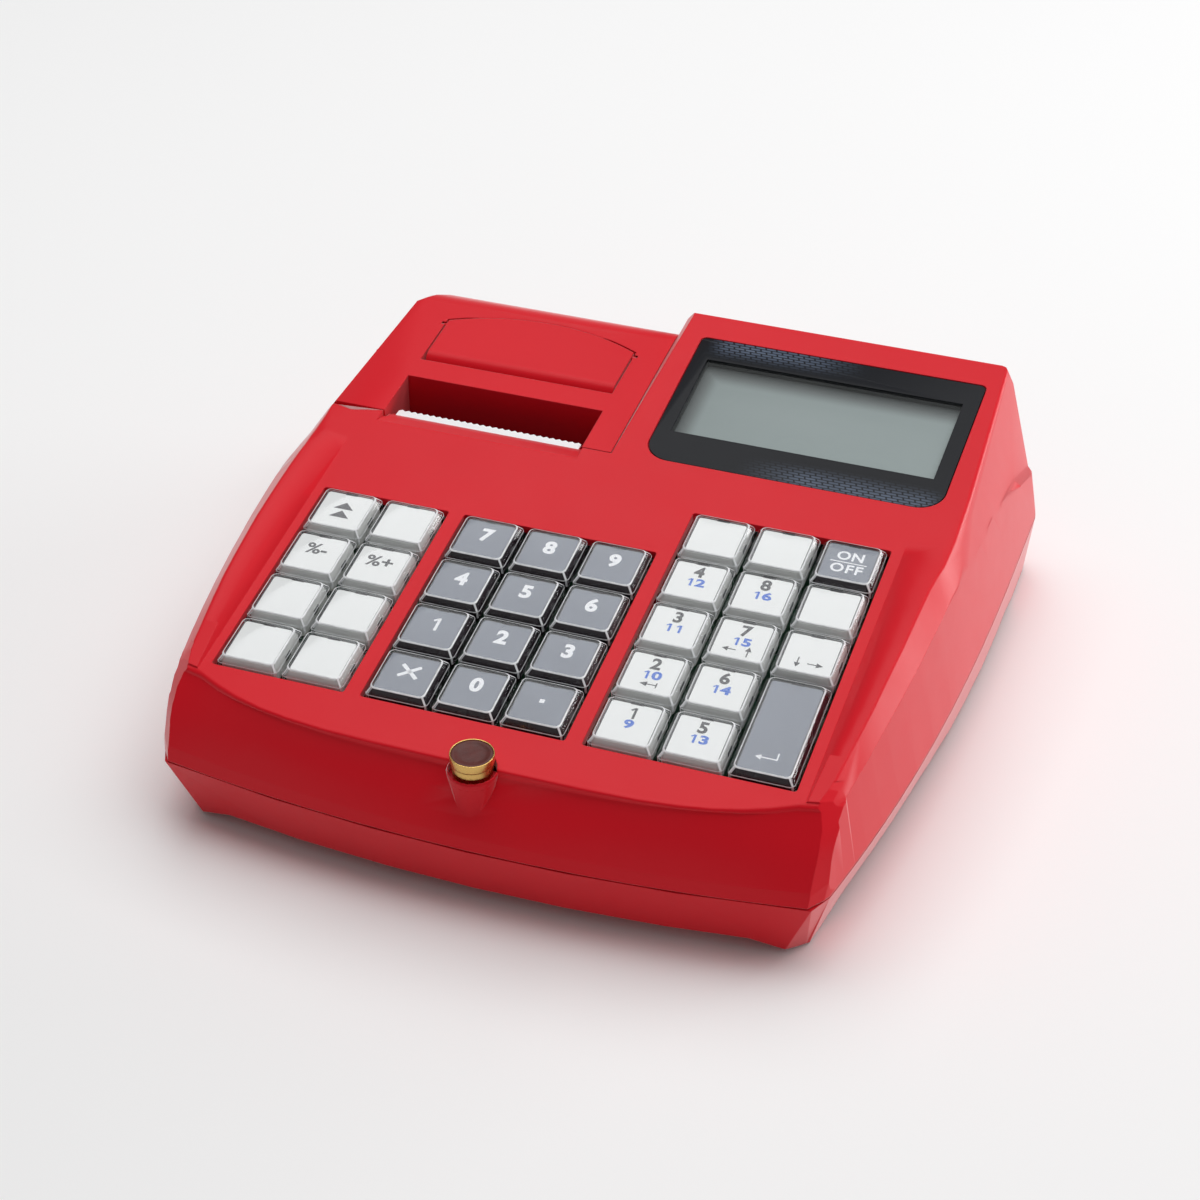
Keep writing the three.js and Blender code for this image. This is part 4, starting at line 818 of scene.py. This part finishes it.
def key_cap(width, length, cap_finish, label_finish):
    """The cap under the cover: stem, base, drawn-in sides, label bed and clips."""
    stem, foot, shoulder, bed = -8.9 * MM, -4.2 * MM, -0.35 * MM, 1.3 * MM
    base, half_stem = width - 1.6 * MM, 2.55 * MM
    label = sizes().label_side
    label_bed = label + 1.0 * MM
    extra = length - width
    half_length = (base + extra) / 2
    cap = box_piece("cap", (-base / 2, -half_length, foot), (base / 2, half_length, shoulder))
    with Editing(cap) as edit:
        edit.faces(is_top)
        edit.push(0, 0, bed - shoulder)
        edit.scale(label_bed / base, (label_bed + extra) / (base + extra), 1, (0, 0, bed))
        edit.bevel(is_upright, 1.3 * MM, 3)
        edit.bevel(rim_of(bed), 0.2 * MM, 2)
    smooth(cap, KEY_CREASE)
    wear(cap, cap_finish, "side_clip")
    # The cap's top round the label is painted grey as painted shade in the gap under the label's edge;
    # the same grey is the clips' own colour
    give_second_finish(cap, is_top)

    post = box_piece("stem", (-half_stem, -half_stem, stem), (half_stem, half_stem, foot + 0.1 * MM))
    with Editing(post) as edit:
        edit.bevel(rim_of(stem), 0.3 * MM, 2)
    wear(post, cap_finish)

    sheet = box_piece(
        "label",
        (-label / 2, -(label + extra) / 2, bed - 0.05 * MM),
        (label / 2, (label + extra) / 2, bed + 0.1 * MM),
    )
    with Editing(sheet) as edit:
        edit.bevel(is_upright, 0.7 * MM, 3)
    wear(sheet, label_finish)

    # Each clip: how far out it starts, its depth, foot and top in millimetres, and half its width
    half_clip = sizes().clip_width / 2
    low_clip = (0.75, 0.75, -1.9, -0.3, half_clip * 0.8)
    rear = ((-0.2, 0.75, 0.9, 1.46, half_clip), low_clip)
    side = ((0.02, 0.45, 0.9, 1.4, half_clip), low_clip)
    front = ((0.02, 0.16, 0.9, 1.4, half_clip * 1.1),)
    clips = []
    for turn, shapes in enumerate((rear, side, front, side)):
        reach = label / 2 if turn % 2 else (label + extra) / 2
        for out, deep, low, high, half in shapes:
            start, end = reach + out * MM, reach + (out + deep) * MM
            clip = box_piece("clip", (-half, start, low * MM), (half, end, high * MM))
            with Editing(clip) as edit:
                edit.bevel(narrower_than(half), 0.06 * MM, 2)
            wear(clip, "cover_clip" if turn == 0 else "side_clip")
            move_to(clip, Matrix.Rotation(turn * math.pi / 2, 4, "Z"))
            clips.append(clip)
    return join([cap, post, sheet, *clips], "cap")


def print_text(words, height, x, y, ink_name, bold, stretch=1.0, spread=1.0):
    """Flat printed text, with its middle at x, y on a label."""
    bpy.ops.object.text_add(location=(x * MM, y * MM, PRINT_HEIGHT))
    text = bpy.context.object
    text.data.body = words
    text.data.size = height * MM / CAPITAL_SHARE
    text.data.offset = bold * MM
    text.data.space_character = spread
    text.data.resolution_u = 4
    text.data.align_x = text.data.align_y = "CENTER"
    text.scale = (stretch, 1, 1)
    pick(text)
    bpy.ops.object.convert(target="MESH")
    printed = bpy.context.object
    settle(printed)
    wear(printed, ink_name)
    return printed


def print_shape(shape, x, y, turn, ink_name):
    """Inks a flat shape and puts it on a label."""
    wear(shape, ink_name)
    move_to(shape, Matrix.Translation((x * MM, y * MM, PRINT_HEIGHT)) @ Matrix.Rotation(turn, 4, "Z"))
    return shape


def print_bar(x, y, width, length, ink_name, turn=0):
    """A printed stroke with rounded corners."""
    bpy.ops.mesh.primitive_plane_add(size=1)
    bar = named("bar")
    bar.scale = (width * MM, length * MM, 1)
    settle(bar)
    with Editing(bar) as edit:
        edit.all()
        bpy.ops.mesh.bevel(offset=min(width, length) * 0.12 * MM, segments=2, affect="VERTICES")
    return print_shape(bar, x, y, turn, ink_name)


def print_number(words, height, x, y, ink_name, bold, stretch=1.0):
    """A number digit by digit, with a flag on the one."""
    parts = []
    step = height * 0.74 * stretch
    for place, digit in enumerate(words):
        middle = x + (place - (len(words) - 1) / 2) * step
        if digit == "1":
            stem = middle + 0.08 * height * stretch
            flag, flag_y = stem - 0.15 * height * stretch, y + height * 0.35
            lean = math.radians(-52)
            parts.append(print_bar(stem, y, height * 0.17 * stretch, height, ink_name))
            parts.append(print_bar(flag, flag_y, height * 0.14, height * 0.36, ink_name, lean))
        else:
            parts.append(print_text(digit, height, middle, y, ink_name, bold, stretch))
    return parts


def print_triangle(x, y, width, height, ink_name, turn=0):
    """A printed triangle that points to the back, then is turned."""
    made_width, made_height = math.sqrt(3), 1.5
    bpy.ops.mesh.primitive_circle_add(
        vertices=3, radius=1, fill_type="NGON", location=(0, made_height / 2 - 1, 0)
    )
    shape = named("triangle")
    settle(shape)
    shape.scale = (width * MM / made_width, height * MM / made_height, 1)
    settle(shape)
    return print_shape(shape, x, y, turn, ink_name)


def print_arrow(x, y, turn, ink_name, length, stop=False):
    """A small arrow that points to the back, then is turned; with a stop it ends in a cross bar."""

    def along(share):
        """A place on the arrow's line, as a share of its length from the middle."""
        place = Matrix.Rotation(turn, 4, "Z") @ Vector((0, share * length, 0))
        return x + place.x, y + place.y

    parts = [
        print_triangle(*along(0.28), 1.8, length * 0.46, ink_name, turn),
        print_bar(*along(-0.24), 0.34, length * 0.6, ink_name, turn),
    ]
    if stop:
        parts.append(print_bar(*along(-0.55), 1.9, 0.32, ink_name, turn))
    return parts


def item_legend(number):
    """An item key's number, its second number in blue, and the arrows that two of them have."""
    parts = [
        *print_number(str(number), 4.1, 0, 3.6, DARK, 0.2),
        *print_number(str(number + 8), 3.0, 0, -0.6, BLUE, 0.17, 1.3),
    ]
    if number == 2:
        parts += print_arrow(0, -4.0, LEFT, DARK, 4.4, True)
    if number == 7:
        parts += print_arrow(-2.6, -3.9, LEFT, DARK, 3.7)
        parts += print_arrow(2.8, -3.9, 0, DARK, 3.7)
    return parts


LEGENDS = {
    "times_key": lambda: [
        print_bar(0.2, 1.3, 1.1, 7.0, LIGHT, side * math.radians(50)) for side in (-1, 1)
    ],
    "point_key": lambda: [print_bar(-0.2, 1.0, 1.4, 1.4, LIGHT)],
    "on_off_key": lambda: [
        print_text("ON", 3.5, 0, 2.6, LIGHT, 0.13, spread=1.08),
        print_bar(0, 0.1, 10.4, 0.36, LIGHT),
        print_text("OFF", 3.5, 0, -2.6, LIGHT, 0.13, spread=1.16),
    ],
    "function_key_1": lambda: [print_triangle(0, y, 6.0, 2.9, DARK) for y in (2.1, -1.5)],
    "function_key_3": lambda: [print_text("%-", 4.3, -0.2, 1.6, DARK, 0.12, 1.1)],
    "function_key_4": lambda: [print_text("%+", 4.3, -0.2, 1.6, DARK, 0.12, 1.1)],
    "function_key_12": lambda: [
        *print_arrow(-2.7, -3.6, FRONTWARD, DARK, 3.7),
        *print_arrow(2.3, -3.6, RIGHT, DARK, 4.2),
    ],
    "total_key": lambda: [
        print_bar(0, -11.4, 4.8, 0.42, LIGHT),
        print_bar(2.3, -10.3, 0.42, 2.6, LIGHT),
        print_triangle(-2.7, -11.4, 2.0, 1.7, LIGHT, LEFT),
    ],
}


def legend_parts(key):
    """What is printed on a key: only numbers, signs and arrows, laid out in millimetres."""
    if key.startswith("digit_key_"):
        return print_number(key[-1], 5.0, 0.1, 1.5, LIGHT, 0.3)
    if key.startswith("item_key_"):
        return item_legend(int(key[-1]))
    return LEGENDS[key]() if key in LEGENDS else []


class REGISTER_OT_keys(Operator):
    """Models the clear covers, caps, labels and print of all keys"""

    bl_idname = "register.keys"
    bl_label = "Keys"

    def execute(self, context):
        models = {}
        for key in KEYS:
            low, high = deck_box(key)
            width, length = high.x - low.x, high.y - low.y
            dark = key in DARK_KEYS
            kind = (dark, round(length / MM))
            if kind not in models:
                looks = ("dark_cap", "grey_label") if dark else ("light_cap", "light_label")
                models[kind] = (key_cover(width, length), key_cap(width, length, *looks))
            place = DECK @ Matrix.Translation(((low.x + high.x) / 2, (low.y + high.y) / 2, 0))
            slot = "key_grey" if dark else "key_white"
            made = [twin(model, f"{key}_{part}") for model, part in zip(models[kind], ("cover", "cap"))]
            printed = legend_parts(key)
            if printed:
                made.append(join(printed, f"{key}_print"))
            for piece in made:
                move_to(piece, place)
                carry(piece, f"{key}_unit", slot)
            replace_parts(made[0], key)
        for pair in models.values():
            for model in pair:
                bpy.data.objects.remove(model)
        return {"FINISHED"}


# Shells

# Facets that blunt a corner, each as its direction and its depth in millimetres
FRONT_CORNER = (
    ((0.975, -0.2, 0.1), 0.6),
    ((0.8, -0.58, 0.12), 0.7),
    ((0.77, -0.59, 0.24), 0.8),
    ((0.74, -0.57, 0.35), 0.8),
    ((0.72, -0.53, 0.45), 0.7),
    ((0.69, -0.46, 0.56), 0.6),
    ((0.66, -0.3, 0.69), 0.25),
)
REAR_CORNER = (((0.62, 0.6, 0.5), 0.7), ((0.8, 0.42, 0.42), 0.7), ((0.4, 0.8, 0.42), 0.7))
LID_CORNER = (
    ((-0.4, 0.5, 0.77), 2.3),
    ((-0.54, 0.3, 0.79), 1.2),
    ((-0.24, 0.66, 0.71), 1.2),
    ((-0.58, 0.58, 0.58), 0.6),
    ((-0.4, 0.3, 0.87), 0.5),
    ((-0.22, 0.5, 0.84), 0.5),
)

# Boxes by their corners in millimetres: both shoulders, and where shallow creases are shaded over
SHOULDERS = (((-120, 14, 42.5), (-94.5, 80, 70)), ((94.5, 14, 42.5), (120, 80, 70)))
ALL_OVER = (((-120, -120, -10), (120, 120, 70)),)
HOUSING_CREASES = (
    ((-120, 90, 0), (120, 120, 60)),
    ((92, 5, 42), (120, 92, 63)),
    ((-120, 5, 42), (-92, 92, 63)),
    ((-84, -120, 30), (84, -85, 60)),
)


def cut_facets(shell, facets, side=1):
    for (x, y, z), depth in facets:
        blunt_corner(shell, (side * x, y, z), depth * MM)


def shape_housing(shell):
    """Turns the front corners and the rear right one, and evens out both shoulders."""
    for side, shoulder in zip((-1, 1), SHOULDERS):
        cut_facets(shell, FRONT_CORNER, side)
        soften(shell, *shoulder)
    cut_facets(shell, REAR_CORNER)


def shape_lid(shell):
    """Turns the rear left corner."""
    cut_facets(shell, LID_CORNER)


def shape_flap(shell):
    """Draws the flap in a little, so that the gap round it shows as a dark line."""
    middle = sum((Vector(corner) for corner in shell.bound_box), Vector()) / 8
    with Editing(shell) as edit:
        edit.all()
        edit.scale(0.99, 0.985, 1, middle)


class REGISTER_OT_shells(Operator):
    """Finishes the housing, the tray, the printer lid and its flap"""

    bl_idname = "register.shells"
    bl_label = "Shells"

    def execute(self, context):
        for node, body, shape, degrees, creases in (
            ("upper_shell", "housing", shape_housing, 15, HOUSING_CREASES),
            ("base_shell", "housing", None, 24, ()),
            ("printer_lid", "lid", shape_lid, 15, ALL_OVER),
            ("lid_release_flap", "flap", shape_flap, 15, ALL_OVER),
        ):
            shell = from_frame(node, f"{node}_moulding")
            if shape:
                shape(shell)
            smooth(shell, degrees)
            for low, high in creases:
                blend_creases(shell, low, high)
            even_out(shell)
            wear(shell, "red_body")
            carry(shell, body, "red_plastic", node)
        return {"FINISHED"}


# Displays


class REGISTER_OT_display(Operator):
    """Models the operator's display panel, its pane and frame, and dresses both displays"""

    bl_idname = "register.display"
    bl_label = "Displays"

    def execute(self, context):
        refine("display_bezel", "display_panel", "housing", "black_plastic", "display_panel", 28)

        # The opening between the panel and the display below it
        screen_low, screen_high = deck_box("operator_lcd")
        panel_low, panel_high = deck_box("display_bezel")
        margin, gap, rim = 4 * MM, 0.05 * MM, 0.8 * MM
        low = Vector((screen_low.x + margin, screen_low.y + margin, screen_high.z + gap))
        high = Vector((screen_high.x - margin, screen_high.y - margin, panel_low.z - gap))
        pane_top = panel_high.z - 0.1 * MM
        pane = box_piece(
            "display_pane",
            (low.x + gap, low.y + gap, pane_top - sizes().glass),
            (high.x - gap, high.y - gap, pane_top),
        )
        with Editing(pane) as edit:
            edit.bevel(lambda edge: True, 0.06 * MM, 2)
        smooth(pane)
        wear(pane, "display_pane")
        move_to(pane, DECK)
        carry(pane, "housing", "dark_window")

        surround = box_piece(
            "display_frame", (low.x - rim, low.y - rim, low.z), (high.x + rim, high.y + rim, high.z)
        )
        with Editing(surround) as edit:
            edit.faces(lambda face: abs(face.normal.z) > 0.9)
            bpy.ops.mesh.inset(thickness=rim)
            bpy.ops.mesh.bridge_edge_loops()
            edit.bevel(lambda edge: not is_upright(edge), 0.1 * MM, 2)
        smooth(surround)
        wear(surround, "black_moulding")
        move_to(surround, DECK)
        carry(surround, "housing", "black_plastic")

        dress("operator_lcd", "display_cells")
        dress("customer_lcd", "display_cells")
        refine(
            "customer_window", "customer_display_window", "housing", "dark_window", "smoked_window", 30
        )
        return {"FINISHED"}


# Seal

# Profiles in millimetres: in from the outside, and up from the foot or down from the brim
CUP_FOOT = ((1.2, 0), (0.75, 0.3), (0.6, 1.2))
CUP_SIDE = ((0.6, 3.0), (0.3, 2.7), (0.14, 2.5), (0.05, 2.2), (0, 0.3))
CUP_BRIM = ((0.06, 0.06), (0.2, 0), (0.36, 0.06), (0.4, 0.3))
WAX_FOOT = ((0.2, 0), (0, 0.3))
WAX_TOP = ((0, 0.25), (0.35, 0.1), (0.9, 0.16), (1.2, 0.42))


def turned(name, middle, profile):
    """A piece turned on an upright axis through its middle from a profile of radius and height."""
    axis_place = (middle.x, middle.y, 0)
    bpy.ops.mesh.primitive_plane_add(size=1, location=axis_place)
    piece = named(name)
    settle(piece)
    with Editing(piece) as edit:
        edit.all()
        bpy.ops.mesh.merge(type="CENTER")
        bpy.ops.transform.translate(value=(profile[0][0], 0, profile[0][1]))
        for (from_radius, from_height), (radius, height) in zip(profile, profile[1:]):
            edit.push(radius - from_radius, 0, height - from_height)
        edit.all()
        bpy.ops.mesh.spin(
            steps=64, angle=2 * math.pi, center=axis_place, axis=(0, 0, 1), use_auto_merge=False
        )
        edit.all()
        bpy.ops.mesh.remove_doubles(threshold=0.001 * MM)
        bpy.ops.mesh.normals_make_consistent(inside=False)
    smooth(piece, 40)
    return piece


class REGISTER_OT_seal(Operator):
    """Turns the brass seal cup and the wax in it"""

    bl_idname = "register.seal"
    bl_label = "Seal"

    def execute(self, context):
        low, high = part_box("seal_cup")
        wax_low, wax_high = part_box("seal_wax")
        radius = (high.x - low.x) / 2 - 0.2 * MM
        brim = high.z - 0.45 * MM
        cup_floor = wax_low.z - 0.25 * MM
        wall = 0.4 * MM
        cup = turned(
            "seal_cup_turned",
            (low + high) / 2,
            [
                (0, low.z),
                *((radius - inset * MM, low.z + rise * MM) for inset, rise in CUP_FOOT),
                *((radius - inset * MM, brim - drop * MM) for inset, drop in CUP_SIDE + CUP_BRIM),
                (radius - wall, cup_floor),
                (0, cup_floor),
            ],
        )
        wear(cup, "brass")
        carry(cup, "housing", "brass", "seal_cup")

        fill = radius - wall - 0.01 * MM
        wax = turned(
            "seal_wax_poured",
            (wax_low + wax_high) / 2,
            [
                (0, wax_low.z),
                *((fill - inset * MM, wax_low.z + rise * MM) for inset, rise in WAX_FOOT),
                *((fill - inset * MM, brim - drop * MM) for inset, drop in WAX_TOP),
                (fill * 0.55, brim - 0.5 * MM),
                (fill * 0.25, brim - 0.42 * MM),
                (0, brim - 0.45 * MM),
            ],
        )
        wear(wax, "sealing_wax")
        carry(wax, "housing", "seal_wax", "seal_wax")
        return {"FINISHED"}


# Printer and inner parts


class REGISTER_OT_printer(Operator):
    """Dresses the tear-off blade, the platen, the print head, the hinge pin and the paper roll"""

    bl_idname = "register.printer"
    bl_label = "Ticket printer"

    def execute(self, context):
        for row in (
            ("cutter_bar", "cutter_blade", "housing", "steel", "bright_blade"),
            ("platen_roller", "platen", "platen", "rubber", "rubber"),
            ("paper_roll", "ticket_roll", "roll", "paper", "roll_paper"),
            ("lid_hinge_pin", "hinge_pin", "housing", "steel", "steel"),
            ("print_head", "print_head_block", "housing", "black_plastic", "black_moulding"),
        ):
            refine(*row, 28)
        return {"FINISHED"}


class REGISTER_OT_inner(Operator):
    """Dresses the boards, the battery, the feet and the screws"""

    bl_idname = "register.inner"
    bl_label = "Feet and inner parts"

    def execute(self, context):
        dress("key_switch_bank", "circuit_board")
        dress("main_board", "circuit_board")
        dress("battery_pack", "black_moulding")
        for number in range(1, 5):
            refine(f"foot_pad_{number}", f"rubber_foot_{number}", "housing", "rubber", "rubber", 35)
            refine(f"case_screw_{number}", f"housing_screw_{number}", "housing", "steel", "steel", 35)
        return {"FINISHED"}


# Stage

# The photograph's camera: its place, two of its axes and its focal length
CAMERA_PLACE = (0.203179, -0.580737, 0.474712)
CAMERA_RIGHT = (0.94408, 0.32972, -0.00023)
CAMERA_FORWARD = (-0.26739, 0.76522, -0.58561)
PICTURE_PIXELS, FOCAL_PIXELS = 1200, 2636.65
SENSOR_WIDTH = 36


def area_light(name, place, target, width, height, watts):
    bpy.ops.object.light_add(type="AREA", location=place)
    light = bpy.context.object
    light.name = name
    light.rotation_euler = (Vector(target) - Vector(place)).to_track_quat("-Z", "Y").to_euler()
    light.data.shape = "RECTANGLE"
    light.data.size = width
    light.data.size_y = height
    light.data.energy = watts


class REGISTER_OT_stage(Operator):
    """Sets the floor, the soft studio light and the camera"""

    bl_idname = "register.stage"
    bl_label = "Stage"

    def execute(self, context):
        floor = box_piece("studio_floor", (-4, -4, -0.02), (4, 4, -0.0001))
        with Editing(floor) as edit:
            edit.bevel(is_upright, 0.8, 8)
        wear(floor, "studio_floor")

        world = bpy.data.worlds.new("studio")
        context.scene.world = world
        world.use_nodes = True
        background = world.node_tree.nodes["Background"].inputs
        background["Color"].default_value = (1, 1, 1, 1)
        background["Strength"].default_value = 0.24
        area_light("overhead", (0.1, 0.45, 1.6), (0, 0, 0.03), 2.2, 1.8, 29)
        area_light("right_side", (1.1, 0.85, 0.16), (0.05, 0, 0.04), 1.0, 0.3, 9.5)

        bpy.ops.object.camera_add(location=CAMERA_PLACE)
        camera = context.object
        forward = Vector(CAMERA_FORWARD).normalized()
        up = Vector(CAMERA_RIGHT).cross(forward).normalized()
        right = forward.cross(up).normalized()
        turn = Matrix((right, up, -forward)).transposed().to_4x4()
        camera.matrix_world = Matrix.Translation(camera.location) @ turn
        camera.data.sensor_width = SENSOR_WIDTH
        camera.data.lens = SENSOR_WIDTH * FOCAL_PIXELS / PICTURE_PIXELS
        camera.data.clip_start = 0.01
        context.scene.camera = camera
        context.scene.view_settings.view_transform = "Standard"
        return {"FINISHED"}


class REGISTER_PT_panel(Panel):
    bl_label = "Cash register"
    bl_idname = "REGISTER_PT_panel"
    bl_space_type = "VIEW_3D"
    bl_region_type = "UI"
    bl_category = "Register"

    def draw(self, context):
        layout = self.layout
        for group in (sizes(), colours()):
            box = layout.box()
            for name in group.__annotations__:
                box.prop(group, name)
        for operator in OPERATORS:
            layout.operator(operator.bl_idname)


# In the order in which they run
OPERATORS = (
    REGISTER_OT_shells,
    REGISTER_OT_display,
    REGISTER_OT_keys,
    REGISTER_OT_seal,
    REGISTER_OT_printer,
    REGISTER_OT_inner,
    REGISTER_OT_stage,
)
CLASSES = (RegisterSizes, RegisterColours, *OPERATORS, REGISTER_PT_panel)


def register():
    for item in CLASSES:
        bpy.utils.register_class(item)
    bpy.types.Scene.register_sizes = PointerProperty(type=RegisterSizes)
    bpy.types.Scene.register_colours = PointerProperty(type=RegisterColours)


def unregister():
    del bpy.types.Scene.register_colours
    del bpy.types.Scene.register_sizes
    for item in reversed(CLASSES):
        bpy.utils.unregister_class(item)


def main():
    register()
    for operator in OPERATORS:
        getattr(bpy.ops.register, operator.bl_idname.split(".")[1])()


if __name__ == "__main__":
    main()
